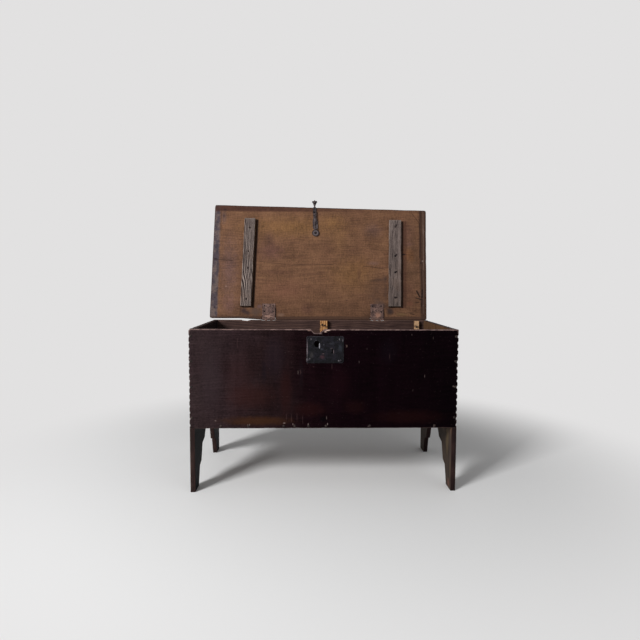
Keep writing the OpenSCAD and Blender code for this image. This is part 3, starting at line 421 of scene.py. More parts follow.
def fit_rim(flat, rim, loops):
    """Moves the rim's points onto the loops, and the nearest ones onto their sharp corners."""
    flat[rim] = nearest(flat[rim], loops)[0]
    for loop in loops:
        before, after = np.roll(loop, 1, axis=0), np.roll(loop, -1, axis=0)
        for prior, corner, following in zip(before, loop, after):
            if np.dot(unit(corner - prior), unit(following - corner)) < SHARP_COSINE:
                closest = rim[int(np.argmin(np.linalg.norm(flat[rim] - corner, axis=1)))]
                flat[closest] = corner


def inward_ways(flat, sides, rim_index):
    """Inward direction at each rim point: to the left of the rim's own direction."""
    inward = np.zeros((len(rim_index), 2))
    for start, end in sides:
        step = unit(flat[end] - flat[start])
        left = np.array((-step[1], step[0]))
        inward[rim_index[start]] += left
        inward[rim_index[end]] += left
    return [unit(way) for way in inward]


def edge_wear(points, wear, thick):
    """Radii of the front and the back arris and the edge's own wear, at each rim point."""
    places = np.c_[points, np.zeros(len(points))]
    fine = ripple(places, (0.02, 0.02, 1), wear.seed + 3)
    coarse = ripple(places, (0.09, 0.09, 1), wear.seed + 7)
    chip = wear.chips * np.clip(coarse * 1.6 - 0.7, 0, 1) * fine
    radius = np.minimum(wear.arris * (0.6 + 0.8 * fine) + chip, thick * ARRIS_SHARE)
    back_radius = np.minimum(wear.arris * (1.4 - 0.8 * fine), thick * ARRIS_SHARE)
    return zip(radius, back_radius, wear.edge * coarse * (0.5 + 0.5 * fine))


def edge_rows(radius, back_radius, wave, thick):
    """Rows round the edge from face to face: how far in and how deep, and the distance from an arris."""
    rows = [(radius * (1 - math.sin(turn)) + wave, radius * (1 - math.cos(turn)), 0)
            for turn in ARRIS_TURNS]
    rows.append((wave, thick / 2, thick / 2))
    return rows + [(back_radius * (1 - math.sin(turn)) + wave, thick - back_radius * (1 - math.cos(turn)), 0)
                   for turn in reversed(ARRIS_TURNS)]


def roughen(coords, thick, wear):
    """The same points, with both faces sunk a little and unevenly into the wood."""
    size = (*wear.grain, 1)
    sink = wear.face * ripple(coords, size, wear.seed)
    rise = wear.face * ripple(coords, size, wear.seed + 5)
    share = coords[:, 2] / (thick / 2) - 1
    moved = coords.copy()
    moved[:, 2] += np.where(share < 0, -share * sink, -share * rise)
    return moved


def slab(name, board, outline, thick, a_lines, c_lines, cell, wear, holes=(), warp=None,
         recess=(0, 0, 0, 0, 0)):
    """A board with rounded, worn arrises and slightly uneven faces, always inside its true outline.

    outline and holes are loops of (a, c). The grid's cells that lie inside become the two faces, and
    rows of faces follow the arris from one face to the other. recess is a pocket in the front face:
    where it lies along a and across c, and how deep it is."""
    loops = [np.array(loop, float) for loop in (outline, *holes)]
    flat, cells = face_grid(grid_lines(a_lines, cell[0]), grid_lines(c_lines, cell[1]), warp)
    cells = cells[within(flat[cells].mean(axis=1), loops)]
    sides = outer_sides(cells)
    rim = sorted({v for side in sides for v in side})
    rim_index = {v: i for i, v in enumerate(rim)}
    fit_rim(flat, rim, loops)
    coords, arris = [], []

    def put(point, d, edge_gap):
        coords.append((point[0], point[1], d))
        arris.append(edge_gap)
        return len(coords) - 1

    front, back, profiles = {}, {}, []
    inner = np.array([v for v in np.unique(cells) if v not in rim_index], int)
    for v, gap in zip(inner, nearest(flat[inner], loops)[1]):
        front[v] = put(flat[v], 0, gap)
        back[v] = put(flat[v], thick, gap)
    ways = inward_ways(flat, sides, rim_index)
    for v, way, worn in zip(rim, ways, edge_wear(flat[rim], wear, thick)):
        profile = [put(flat[v] + way * inset, d, gap) for inset, d, gap in edge_rows(*worn, thick)]
        profiles.append(profile)
        front[v], back[v] = profile[0], profile[-1]

    a0, a1, c0, c1, depth = recess
    middles = flat[cells].mean(axis=1)
    sunk = ((middles > (a0, c0)) & (middles < (a1, c1))).all(axis=1)
    floor = {v: put(flat[v], depth, depth) for v in np.unique(cells[sunk])}
    faces = [[back[v] for v in quad] for quad in cells]
    faces += [[front[v] for v in reversed(quad)] for quad in cells[~sunk]]
    faces += [[floor[v] for v in reversed(quad)] for quad in cells[sunk]]
    faces += [[front[v], front[w], floor[w], floor[v]] for v, w in outer_sides(cells[sunk])]
    for start, end in sides:
        one, other = profiles[rim_index[start]], profiles[rim_index[end]]
        faces += [[one[k], other[k], other[k + 1], one[k + 1]] for k in range(len(one) - 1)]
    coords = np.array(coords)
    layers = {"board": coords, "arris": np.array(arris)}
    return build(name, board, roughen(coords, thick, wear), faces, layers)


def unit(v):
    length = np.linalg.norm(v)
    return v / length if length > TINY else v


def build(name, board, coords, faces, layers):
    """Mesh object from coordinates on a board's axes, with its layers of values. Loose points go."""
    used = sorted({v for face in faces for v in face})
    index = {v: i for i, v in enumerate(used)}
    mesh = bpy.data.meshes.new(name)
    mesh.from_pydata(board.place(coords[used]).tolist(), [], [[index[v] for v in f] for f in faces])
    for key, values in layers.items():
        kind, field = ("FLOAT_VECTOR", "vector") if values.ndim == 2 else ("FLOAT", "value")
        layer = mesh.attributes.new(key, kind, "POINT")
        layer.data.foreach_set(field, values[used].astype(np.float32).ravel())
    mesh.shade_smooth()
    mesh.set_sharp_from_angle(angle=SMOOTH_ANGLE)
    piece = bpy.data.objects.new(name, mesh)
    bpy.context.scene.collection.objects.link(piece)
    return piece


def dress(piece, node, body, material):
    """The piece stands for a CAD node and moves with its body."""
    piece.data.materials.append(material)
    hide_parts(node)
    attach(piece, body)


# Node trees

def linear(colour):
    """Linear colour, with its alpha, of a display colour."""
    parts = [channel / 255 for channel in colour]
    return (*(part / 12.92 if part <= 0.04045 else ((part + 0.055) / 1.055) ** 2.4 for part in parts), 1.0)


class Nodes:
    """A node tree, with a short call for each node that the looks need."""

    def __init__(self, tree):
        self.tree = tree

    def node(self, kind, inputs, **settings):
        made = self.tree.nodes.new(kind)
        for key, value in settings.items():
            setattr(made, key, value)
        for key, value in inputs.items():
            self.feed(made.inputs[key], value)
        return made

    def feed(self, socket, value):
        if isinstance(value, bpy.types.NodeSocket):
            self.tree.links.new(value, socket)
        else:
            socket.default_value = linear(value) if socket.type == "RGBA" else value

    def math(self, operation, one, other=0.0):
        return self.node("ShaderNodeMath", {0: one, 1: other}, operation=operation).outputs[0]

    def plus(self, one, other):
        return self.math("ADD", one, other)

    def times(self, one, other):
        return self.math("MULTIPLY", one, other)

    def seen(self):
        """1 for rays that the camera sees, also in metal or through glass, and 0 for other light."""
        path = self.node("ShaderNodeLightPath", {}).outputs
        through = self.math("MAXIMUM", path["Is Glossy Ray"], path["Is Transmission Ray"])
        return self.math("MAXIMUM", path["Is Camera Ray"], through)

    def mix_shaders(self, part, one, other):
        return self.node("ShaderNodeMixShader", {0: part, 1: one, 2: other}).outputs[0]


class Shader(Nodes):
    """A material's node tree. at is the place that its marks go by."""

    def __init__(self, name):
        self.material = bpy.data.materials.new(name)
        self.material.use_nodes = True
        super().__init__(self.material.node_tree)
        self.surface = self.tree.nodes["Principled BSDF"]

    def attribute(self, name, output="Vector"):
        return self.node("ShaderNodeAttribute", {}, attribute_name=name).outputs[output]

    def object_place(self):
        return self.node("ShaderNodeTexCoord", {}).outputs["Object"]

    def noise(self, at, scale, detail=3.0, rough=0.55):
        inputs = {"Vector": at, "Scale": scale, "Detail": detail, "Roughness": rough}
        return self.node("ShaderNodeTexNoise", inputs).outputs[0]

    def vector(self, operation, one, other=(0, 0, 0)):
        made = self.node("ShaderNodeVectorMath", {0: one, 1: other}, operation=operation)
        return made.outputs["Value" if operation in ("LENGTH", "DOT_PRODUCT") else "Vector"]

    def split(self, at):
        return self.node("ShaderNodeSeparateXYZ", {"Vector": at}).outputs

    def join(self, x, y, z):
        return self.node("ShaderNodeCombineXYZ", {0: x, 1: y, 2: z}).outputs[0]

    def range(self, value, low, high, to_low=0.0, to_high=1.0):
        inputs = {"Value": value, "From Min": low, "From Max": high, "To Min": to_low, "To Max": to_high}
        return self.node("ShaderNodeMapRange", inputs, interpolation_type="SMOOTHSTEP").outputs[0]

    def fade(self, value, low, high):
        """Smooth change from 0 at one distance to 1 at another, both in millimetres."""
        return self.range(value, low * MM, high * MM)

    def part(self, value, low, high):
        """Straight share of the way from low to high, from 0 to 1."""
        inputs = {"Value": value, "From Min": low, "From Max": high}
        return self.node("ShaderNodeMapRange", inputs).outputs[0]

    def centred(self, value, reach):
        """Noise turned into a move of up to half the reach either way."""
        return self.times(self.math("SUBTRACT", value, 0.5), reach)

    def mix(self, *parts):
        """Weighted sum of (weight, value) pairs."""
        total = 0.0
        for weight, value in parts:
            total = self.plus(self.times(value, weight), total)
        return total

    def sway(self, *parts):
        """1, moved up and down by each (reach, noise), and never dark as a hole."""
        total = 1.0
        for reach, value in parts:
            total = self.plus(self.centred(value, reach), total)
        return self.math("MAXIMUM", total, 0.12)

    def shade(self, colour, light):
        if isinstance(colour, tuple):
            colour = linear(colour)[:3]
        return self.vector("MULTIPLY", colour, self.join(light, light, light))

    def blend(self, part, one, other):
        return self.node("ShaderNodeMix", {0: part, 6: one, 7: other}, data_type="RGBA").outputs[2]

    def tint(self, colour, mask, target, strength=1.0):
        return self.blend(self.times(mask, strength), colour, target)

    def ramp(self, value, stops):
        made = self.node("ShaderNodeValToRGB", {0: value})
        while len(made.color_ramp.elements) < len(stops):
            made.color_ramp.elements.new(0.5)
        for element, (position, colour) in zip(made.color_ramp.elements, stops):
            element.position = position
            element.color = linear(colour)
        return made.outputs[0]

    def bump(self, height, distance):
        return self.node("ShaderNodeBump", {"Height": height, "Distance": distance}).outputs[0]

    @cached_property
    def uneven(self):
        return self.noise(self.at, 60, 3, 0.6)

    def spot(self, centre, radii, ragged, soft):
        """Mask of a ragged patch: 1 in its middle and 0 outside it."""
        off = self.vector("SUBTRACT", self.at, (centre[0] * MM, centre[1] * MM, 0))
        scaled = self.vector("MULTIPLY", off, (1 / (radii[0] * MM), 1 / (radii[1] * MM), 0))
        torn = self.plus(self.vector("LENGTH", scaled), self.times(self.uneven, ragged))
        return self.range(torn, 1 + ragged / 2, 1 + ragged / 2 - soft)

    def lay(self, colour, marks):
        """Lays marks on the colour, in their order."""
        for x, y, wide, tall, tone, strength, *edge in marks:
            mask = self.spot((x, y), (wide, tall), *(edge or USUAL_EDGE))
            colour = self.tint(colour, mask, tone, strength)
        return colour

    def finish(self, colour, roughness, normal, **constants):
        self.feed(self.surface.inputs["Base Color"], colour)
        self.feed(self.surface.inputs["Roughness"], roughness)
        self.feed(self.surface.inputs["Normal"], normal)
        for key, value in constants.items():
            self.surface.inputs[key.replace("_", " ")].default_value = value
        return self.material


class Wood(Shader):
    """Wood whose figure follows its board: rings, streaks, fibres and pores drawn out along the grain."""

    def __init__(self, name, seed):
        super().__init__(name)
        self.at = self.attribute("board")
        self.arris = self.attribute("arris", "Fac")
        self.board = self.vector("ADD", self.at, (seed * 3.1, seed * 1.7, seed * 0.3))
        self.along, self.across, self.deep = self.split(self.at)[:3]
        along, across, deep = self.split(self.board)[:3]
        wander = self.drawn_out(self.board, (1.3, 4, 4), 2, 0.5)
        self.flow_across = self.plus(across, self.centred(wander, 0.12))
        self.flow = self.join(along, self.flow_across, deep)
        self.fibres = self.streaks(45, 1.5, 2)

    def drawn_out(self, at, scale, detail=3.0, rough=0.6):
        """Noise with a scale of its own for each axis."""
        return self.noise(self.vector("MULTIPLY", at, scale), 1, detail, rough)

    def streaks(self, length, width, detail=3.0, rough=0.6):
        """Noise drawn out along the grain into streaks of the given length and width in millimetres."""
        return self.drawn_out(self.flow, (1000 / length, 1000 / width, 1000 / width), detail, rough)

    def rings(self, pitch, wander):
        """Growth rings as lines about pitch millimetres apart, which bend round slow changes."""
        bend = self.drawn_out(self.flow, (2.2, 7, 7), 3, 0.5)
        place = self.mix((1000 / pitch, self.flow_across), (wander * 8, bend))
        return self.range(self.math("SINE", self.times(place, 2 * math.pi)), -1, 1)

    def patches(self, size, detail=2.0):
        """Slow mottling, with patches of about the given size in millimetres."""
        return self.noise(self.board, 1000 / size, detail, 0.5)

    def band(self, value, low, high, soft):
        """1 where a distance lies between low and high, both in millimetres."""
        rise = self.fade(value, low - soft, low + soft)
        return self.times(rise, self.fade(value, high + soft, high - soft))

    def torn(self, value, reach, size):
        """A distance moved to and fro by noise, over the given reach in millimetres."""
        return self.plus(value, self.centred(self.noise(self.board, 1000 / size, 4, 0.65), reach * MM))

    def stroke(self, start, end, wide, wander):
        """Mask of a line from start to end, all in millimetres; wide is half its width."""
        start, end = Vector((*start, 0)) * MM, Vector((*end, 0)) * MM
        ahead = (end - start).normalized()
        off = self.vector("SUBTRACT", self.at, start)
        gone = self.vector("DOT_PRODUCT", off, ahead)
        aside = self.vector("DOT_PRODUCT", off, Vector((-ahead.y, ahead.x, 0)))
        if wander:
            aside = self.plus(aside, self.centred(self.drawn_out(self.board, (9, 9, 1)), wander * MM))
        near = self.fade(self.math("ABSOLUTE", aside), wide, wide * STROKE_CORE)
        return self.times(near, self.band(gone, 0, (end - start).length / MM, STROKE_END))

    def figure(self, ring_pitch, ring_wander, shares):
        """The wood's figure from 0 to 1, as shares of its rings, its streaks and its fibres."""
        parts = (self.rings(ring_pitch, ring_wander), self.streaks(240, 9), self.fibres)
        return self.mix(*zip(shares, parts))


# Looks

def finish_and_shade(wood, stops):
    """Dark, worn finish, which on the front board also holds painted shade and a painted sheen. stops are
    (millimetres along the board, tone) from one end to the other.
    """
    place = wood.plus(wood.along, wood.centred(wood.patches(150, 3), 0.34))
    low, high = stops[0][0], stops[-1][0]
    ramp = [((at - low) / (high - low), tone) for at, tone in stops]
    tone = wood.ramp(wood.part(place, low * MM, high * MM), ramp)
    upright = wood.drawn_out(wood.board, (34, 5, 1))
    light = wood.sway((1.5, wood.streaks(140, 6)), (0.7, wood.fibres), (1.0, upright),
                      (1.6, wood.noise(wood.board, 130, 3, 0.7)))
    return wood.shade(tone, light)


def raw_wood(wood, dark, middle, light, ring_pitch=12, shares=(0.16, 0.48, 0.36)):
    """Bare wood in three tones, mottled, with fine dark pores."""
    mottled = wood.mix((0.75, wood.figure(ring_pitch, 0.9, shares)), (0.25, wood.patches(70, 3)))
    colour = wood.ramp(mottled, ((0.30, dark), (0.50, middle), (0.70, light)))
    pores = wood.range(wood.streaks(11, 0.9, 1, 0.5), 0.38, 0.30)
    return wood.tint(colour, pores, dark, 0.6)


def wear_edges(wood, colour, worn, reach=2.2, strength=0.6):
    """Bares the arrises here and there."""
    rub = wood.math("SUBTRACT", reach * MM, wood.torn(wood.arris, 3.5, 30))
    return wood.tint(colour, wood.fade(rub, 0, 1.2), worn, strength)


def relief(wood, deep=0.5):
    """Normal from the wood's fibres, its dents and its hand-planed face, deep in millimetres."""
    dents = wood.noise(wood.board, 55, 4, 0.6)
    height = wood.mix((0.35, wood.fibres), (0.65, dents))
    return wood.bump(height, deep * MM)


def front_look():
    wood = Wood("front_wood", 1)
    top, thick = chest_top / MM, front_thick / MM
    # Tones from left to right: the old finish, lighter at the left with a painted sheen, and darker to the
    # right with painted shade where the light falls off.
    stops = ((-535, (44, 34, 35)), (-380, (39, 28, 30)), (-250, (31, 20, 21)),
             (-60, (17, 6, 9)), (120, (11, 3, 6)), (535, (6, 2, 4)))
    colour = finish_and_shade(wood, stops)
    colour = wood.lay(colour, FRONT_STAINS)
    flecks = wood.range(wood.noise(wood.board, 300, 2, 0.5), 0.70, 0.76)
    colour = wood.tint(colour, flecks, (104, 88, 86), 0.5)
    colour = wear_edges(wood, colour, (84, 68, 64), 1.4, 0.5)
    rubbed = wood.fade(wood.torn(wood.across, 6, 24), top - 2.2, top - 0.4)
    bare = wood.blend(wood.range(wood.patches(18, 3), 0.36, 0.64), (84, 67, 66), (126, 104, 99))
    colour = wood.tint(colour, rubbed, bare, 0.85)
    dip = wood.fade(wood.torn(wood.across, 5, 24), top - 19, top - 16)
    lip = wood.fade(wood.torn(wood.arris, 1.5, 12), 3.4, 1.8)
    colour = wood.tint(colour, wood.times(dip, lip), bare, 0.9)
    colour = wood.lay(colour, FRONT_CHIPS)
    inner = raw_wood(wood, (52, 35, 29), (78, 56, 45), (100, 74, 57))
    behind = wood.fade(wood.deep, thick - 2, thick - 0.5)
    colour = wood.tint(colour, behind, inner)
    rough = wood.mix((0.30, wood.patches(40, 3)), (0.25, behind))
    rough = wood.plus(rough, 0.35)
    return wood.finish(colour, rough, relief(wood, 0.7), Specular_IOR_Level=0.01)


def back_look():
    wood = Wood("back_wood", 2)
    colour = raw_wood(wood, (44, 31, 29), (66, 49, 45), (88, 66, 58))
    colour = wood.shade(colour, wood.sway((1.0, wood.patches(60, 3)), (1.0, wood.streaks(150, 6))))
    outer = raw_wood(wood, (50, 42, 38), (66, 55, 48), (84, 71, 61))
    colour = wood.tint(colour, wood.fade(wood.deep, 15, 18), outer)
    colour = wear_edges(wood, colour, (104, 82, 72), 2.0, 0.6)
    return wood.finish(colour, 0.8, relief(wood, 0.7), Specular_IOR_Level=0.1)


def end_look(name, seed, upper, lower, edge, dark_arris, marks=()):
    """End board: dark outer face, the tones of its inner face above and in the feet, and of its edges.

    dark_arris is the width in millimetres over which its edges are dark beside the inner face."""
    wood = Wood(name, seed)
    thick = end_thick / MM
    outer = finish_and_shade(wood, ((0, (42, 27, 25)), (300, (34, 21, 20)), (650, (40, 26, 24))))
    inner = wood.blend(wood.fade(wood.along, 200, 300), raw_wood(wood, *lower), raw_wood(wood, *upper))
    inner = wood.shade(inner, wood.sway((0.9, wood.patches(60, 3)), (1.0, wood.streaks(120, 7))))
    inner = wood.lay(inner, marks)
    colour = wood.tint(outer, wood.fade(wood.deep, thick - 3, thick - 1), inner)
    rim = wood.band(wood.deep, 1.2, thick - dark_arris, 1.2)
    sides = wood.shade(raw_wood(wood, *edge), wood.sway((1.4, wood.patches(26, 3))))
    colour = wood.tint(colour, rim, sides, 0.9)
    colour = wear_edges(wood, colour, edge[2], 1.8, 0.5)
    return wood.finish(colour, 0.65, relief(wood, 0.7), Specular_IOR_Level=0.08)


def bottom_look():
    wood = Wood("bottom_wood", 4)
    colour = raw_wood(wood, (52, 38, 32), (78, 60, 48), (102, 80, 62))
    return wood.finish(colour, 0.85, relief(wood, 0.6), Specular_IOR_Level=0.2)


def batten_look():
    wood = Wood("batten_wood", 5)
    nail_at = (batten_high.z - batten_low.z) / MM - BATTEN_NAIL_DROP
    past_centre = batten_high.x / MM
    colour = raw_wood(wood, (132, 84, 44), (176, 126, 74), (212, 168, 116), 8,
                      (0.45, 0.30, 0.25))
    grime = wood.range(wood.noise(wood.board, 45, 4, 0.6), 0.48, 0.62)
    colour = wood.tint(colour, grime, (120, 66, 28), 0.6)
    right_one = wood.fade(wood.split(wood.object_place())[0], past_centre, past_centre + 1)
    colour = wood.tint(colour, right_one, (210, 184, 154), 0.38)
    smear = wood.band(wood.torn(wood.along, 8, 20), nail_at - 9, nail_at + 7, 4)
    smear = wood.times(smear, wood.range(wood.noise(wood.board, 120, 3, 0.6), 0.40, 0.60))
    colour = wood.tint(colour, smear, (48, 24, 18), 0.8)
    colour = wood.tint(colour, wood.fade(wood.deep, 1.5, 3), (66, 44, 34), 0.85)
    colour = wear_edges(wood, colour, (140, 104, 74), 1.2, 0.5)
    return wood.finish(colour, 0.75, relief(wood, 0.4), Specular_IOR_Level=0.25)


def cleat_look():
    """Weathered wood: wide waving rings on the left cleat, and fine straight ones on the right cleat."""
    wood = Wood("cleat_wood", 6)
    wide = wood.figure(7, 1.5, (0.52, 0.22, 0.26))
    fine = wood.figure(4, 0.5, (0.30, 0.34, 0.36))
    left = wood.fade(wood.across, -10, 10)
    value = wood.plus(fine, wood.times(wood.math("SUBTRACT", wide, fine), left))
    colour = wood.ramp(value, ((0.30, (36, 29, 29)), (0.44, (78, 67, 64)),
                               (0.58, (105, 92, 87)), (0.74, (142, 128, 121))))
    colour = wood.shade(colour, wood.sway((1.0, wood.patches(80, 3)), (0.9, wood.streaks(80, 5))))
    warm = wood.range(wood.patches(110, 3), 0.50, 0.66)
    colour = wood.tint(colour, warm, (92, 74, 64), 0.4)
    checks = wood.range(wood.streaks(80, 1.8, 1, 0.5), 0.38, 0.31)
    colour = wood.tint(colour, checks, (28, 22, 22), 0.85)
    colour = wear_edges(wood, colour, (136, 122, 114), 1.6, 0.45)
    colour = wood.lay(colour, CLEAT_MARKS)
    height = wood.mix((0.55, value), (0.30, wood.fibres), (-0.6, checks))
    return wood.finish(colour, 0.85, wood.bump(height, 1.6 * MM), Specular_IOR_Level=0.1)


def lid_look():
    wood = Wood("lid_wood", 7)
    colour = raw_wood(wood, (84, 58, 45), (102, 72, 53), (115, 84, 61), 13, (0.08, 0.46, 0.46))
    colour = wood.lay(colour, LID_TONES)
    upright = wood.drawn_out(wood.board, (150, 30, 1))
    light = wood.sway((0.7, wood.streaks(110, 5)), (1.3, wood.noise(wood.board, 130, 4, 0.7)),
                      (0.8, wood.patches(45, 3)), (0.5, wood.patches(160)), (0.7, upright))
    colour = wood.shade(colour, light)
    for mask, border, strength in lid_borders(wood):
        colour = wood.tint(colour, mask, border, strength)
    colour = wood.lay(colour, LID_MARKS)
    for start, end, wide, wander, tone, strength in LID_STROKES:
        colour = wood.tint(colour, wood.stroke(start, end, wide, wander), tone, strength)

    # Outer face, out of sight of the camera
    behind = wood.fade(wood.deep, LID_T / MM - 2.5, LID_T / MM - 1)
    outer = finish_and_shade(wood, ((-540, (50, 34, 31)), (0, (42, 27, 25)), (540, (48, 33, 30))))
    colour = wood.tint(colour, behind, outer)
    colour = wood.tint(colour, wood.fade(wood.arris, 3.5, 1.5), (44, 28, 24), 0.75)
    colour = wear_edges(wood, colour, (84, 62, 54), 1.0, 0.3)
    return wood.finish(colour, 0.75, relief(wood, 0.7), Specular_IOR_Level=0.1)


def lid_borders(wood):
    """Masks, colours and strengths of the lid's borders, where it shut on the chest or got wet."""
    slant = wood.times(wood.across, -0.013)
    left = wood.fade(wood.plus(wood.torn(wood.along, 12, 18), slant), -505, -517)
    blue = wood.range(wood.patches(24, 4), 0.44, 0.58)
    grey = wood.blend(blue, (92, 80, 78), (64, 58, 65))
    grey = wood.shade(grey, wood.sway((1.6, wood.noise(wood.board, 150, 3, 0.7))))
    front = wood.fade(wood.torn(wood.across, 9, 50), 528, 540)
    fading = wood.range(wood.along, 400 * MM, -300 * MM, 0.25, 1.0)
    top = wood.shade((62, 38, 32), wood.sway((1.4, wood.patches(20, 3))))
    right = wood.fade(wood.torn(wood.along, 14, 20), 488, 504)
    side = wood.shade((52, 36, 30), wood.sway((2.0, wood.noise(wood.board, 120, 3, 0.7))))
    back = wood.fade(wood.torn(wood.across, 12, 40), 10, 0)
    return ((left, grey, 0.9), (wood.times(front, fading), top, 0.85),
            (right, side, 0.8), (back, (62, 45, 38), 0.7))


def plate_look():
    """Black iron plate with painted highlights along its left edge, beside its hole and on its nails, worn
    edges and a little rust.
    """
    look = Shader("plate_iron")
    look.at = look.attribute("board")
    at = look.object_place()
    dents = look.noise(at, 90, 4, 0.65)
    pits = look.noise(at, 380, 3, 0.7)
    colour = look.blend(look.range(dents, 0.40, 0.62), (5, 5, 8), (20, 18, 25))
    colour = look.lay(colour, PLATE_MARKS)
    # Worn rim of the plate, and a painted highlight on its nail heads, which carry no arris layer.
    edge = look.fade(look.attribute("arris", "Fac"), 2.2, 0.5)
    rubbed = look.times(edge, look.range(dents, 0.46, 0.58))
    colour = look.tint(colour, rubbed, (62, 58, 62), 0.45)
    colour = look.shade(colour, look.sway((2.8, pits)))
    height = look.mix((0.7, dents), (0.3, pits))
    return look.finish(colour, 0.5, look.bump(height, 1.6 * MM), Metallic=0.2, Specular_IOR_Level=0.15)


def iron(name, dark, middle, light, patch, rough, marks=()):
    """Old iron in three tones, pitted, with patches of about the given size in millimetres.

    Its marks are placed as the lid's are."""
    look = Shader(name)
    at = look.object_place()
    across, _, height = look.split(at)[:3]
    look.at = look.join(across, height, 0.0)
    patches = look.noise(at, 1000 / patch, 4, 0.65)
    pits = look.noise(at, 420, 3, 0.7)
    colour = look.ramp(patches, ((0.36, dark), (0.50, middle), (0.64, light)))
    colour = look.lay(colour, [(x, height_on_lid(s), *rest) for x, s, *rest in marks])
    colour = look.shade(colour, look.sway((1.2, pits)))
    normal = look.bump(look.mix((0.6, patches), (0.4, pits)), 1.4 * MM)
    return look.finish(colour, rough, normal, Metallic=0.25, Specular_IOR_Level=0.2)


def height_on_lid(s):
    """Height in millimetres at the distance s from the open lid's back edge."""
    return (lid_origin.z + lid_up.z * s * MM) / MM


# Shapes

def rect(a0, a1, c0, c1):
    return [(a0, c0), (a1, c0), (a1, c1), (a0, c1)]


def arc(middle, radius, start, end, steps):
    """Points on an arc, angles in degrees."""
    angles = [math.radians(start + (end - start) * i / steps) for i in range(steps + 1)]
    return [(middle[0] + radius * math.cos(t), middle[1] + radius * math.sin(t)) for t in angles]


def standing(y):
    """Axes of a board that stands along x, with its front face at y."""
    return Board((0, y, 0), (1, 0, 0), (0, 0, 1))


def nick_arc(x, side, z, depth):
    """Outline of one gouged nick in a side, from its lower end to its upper end."""
    reach = NICK_R - depth
    half_angle = math.degrees(math.acos(reach / NICK_R))
    middle = (x + side * reach, z)
    if side > 0:
        return arc(middle, NICK_R, 180 + half_angle, 180 - half_angle, 6)
    return arc(middle, NICK_R, -half_angle, half_angle, 6)


def nick_heights():
    count = int((chest_top - front_low.z) / NICK_PITCH)
    return [front_low.z + (i + 0.5) * NICK_PITCH for i in range(count)]


def front_outline():
    right, left = [], []
    for z in nick_heights():
        right += nick_arc(half_w, 1, z, NICK_DEPTH)
        left += nick_arc(-half_w, -1, z, LEFT_NICK_DEPTH)
    notch = [(NOTCH_X + x * NOTCH_W / 2, chest_top + z * NOTCH_DEPTH) for x, z in reversed(NOTCH_SHAPE)]
    corner = arc((-half_w + CORNER_R, chest_top - CORNER_R), CORNER_R, 90, 180, 4)
    return ([(-half_w, front_low.z), (half_w, front_low.z)] + right + [(half_w, chest_top)] + notch
            + corner + left[::-1])


def make_front():
    board = standing(front_low.y)
    a_lines = [-half_w, -half_w + 6 * MM, POCKET[0], POCKET[1], half_w - 6 * MM, half_w]
    c_lines = [front_low.z, front_low.z + 4 * MM, POCKET[2], POCKET[3], chest_top - 4 * MM, chest_top]
    rows = [z + part * MM for z in nick_heights() for part in NICK_ROWS]
    rows = [z for z in rows if min(abs(z - line) for line in c_lines) > ROWS_APART]
    return slab("front_board_worn", board, front_outline(), front_thick, a_lines, c_lines + rows,
                (8 * MM, 6 * MM), Wear(1.3, 3.0, 0.4, 0.8, seed=1), recess=POCKET)


def back_outline():
    top = back_high.z
    points = [(-half_w, back_low.z), (half_w, back_low.z), (half_w, top)]
    for x in reversed(HINGE_X):
        for side, z in ((1, top), (1, top - HINGE_GAIN_DEPTH), (-1, top - HINGE_GAIN_DEPTH), (-1, top)):
            points.append((x + side * HINGE_GAIN_HALF, z))
    return points + [(x * MM, top + z * MM) for x, z in BACK_DIP] + [(-half_w, top)]


def make_back():
    board = standing(back_low.y)
    gains = [x + side * HINGE_GAIN_HALF for x in HINGE_X for side in (-1, 1)]
    c_lines = [back_low.z, back_low.z + 5 * MM, back_high.z - 8 * MM, back_high.z - HINGE_GAIN_DEPTH,
               back_high.z]
    return slab("back_board_worn", board, back_outline(), back_high.y - back_low.y,
                [-half_w, half_w] + gains, c_lines, (9 * MM, 9 * MM),
                Wear(1.0, 1.5, 0.4, 0.4, seed=2))


def end_outline():
    """Outline seen from the side, as heights along the grain and distances back across it."""
    deep = left_high.y - left_low.y
    front = [(z * MM, y * MM) for y, z in FOOT_SIDE]
    spring, thigh = front[-1]
    half_span = deep / 2 - thigh
    radius = (half_span ** 2 + ARCH_RISE ** 2) / (2 * ARCH_RISE)
    middle = spring + ARCH_RISE - radius
    spread = math.degrees(math.asin(half_span / radius))
    arch = arc((middle, deep / 2), radius, -spread, spread, 16)
    back = [(z, deep - y) for z, y in reversed(front)]
    low = front_low.z - SHOULDER_GAP
    return ([(0, 0)] + front[:-1] + arch + back[1:] + [(0, deep), (low, deep), (low, deep - SHOULDER)]
            + [(chest_top, deep - SHOULDER), (chest_top, SHOULDER), (low, SHOULDER), (low, 0)])


def make_end(name, low, high, side, seed):
    """End board whose depth runs from its outer face inwards, on the side -1 or 1."""
    if side < 0:
        board = Board((low.x, low.y, 0), (0, 0, 1), (0, 1, 0))
    else:
        board = Board((high.x, high.y, 0), (0, 0, 1), (0, -1, 0))
    deep = high.y - low.y
    feet = [y * MM for y, z in FOOT_SIDE]
    a_lines = [0, chest_top, front_low.z - SHOULDER_GAP] + [z * MM for y, z in FOOT_SIDE[1:]]
    c_lines = [0, SHOULDER, deep - SHOULDER, deep] + feet + [deep - y for y in feet]
    outline = end_outline()[::-1]
    return slab(name, board, outline, high.x - low.x, a_lines, c_lines, (8 * MM, 7 * MM),
                Wear(1.5, 2.5, 0.4, 0.6, seed=seed))


def make_bottom():
    board = Board((0, 0, bottom_high.z), (1, 0, 0), (0, 1, 0))
    sides = rect(bottom_low.x, bottom_high.x, bottom_low.y, bottom_high.y)
    return slab("bottom_board_worn", board, sides, bottom_high.z - bottom_low.z,
                [bottom_low.x, bottom_high.x], [bottom_low.y, bottom_high.y], (15 * MM, 12 * MM),
                Wear(0.8, 0.5, 0.5, 0.2, seed=5))


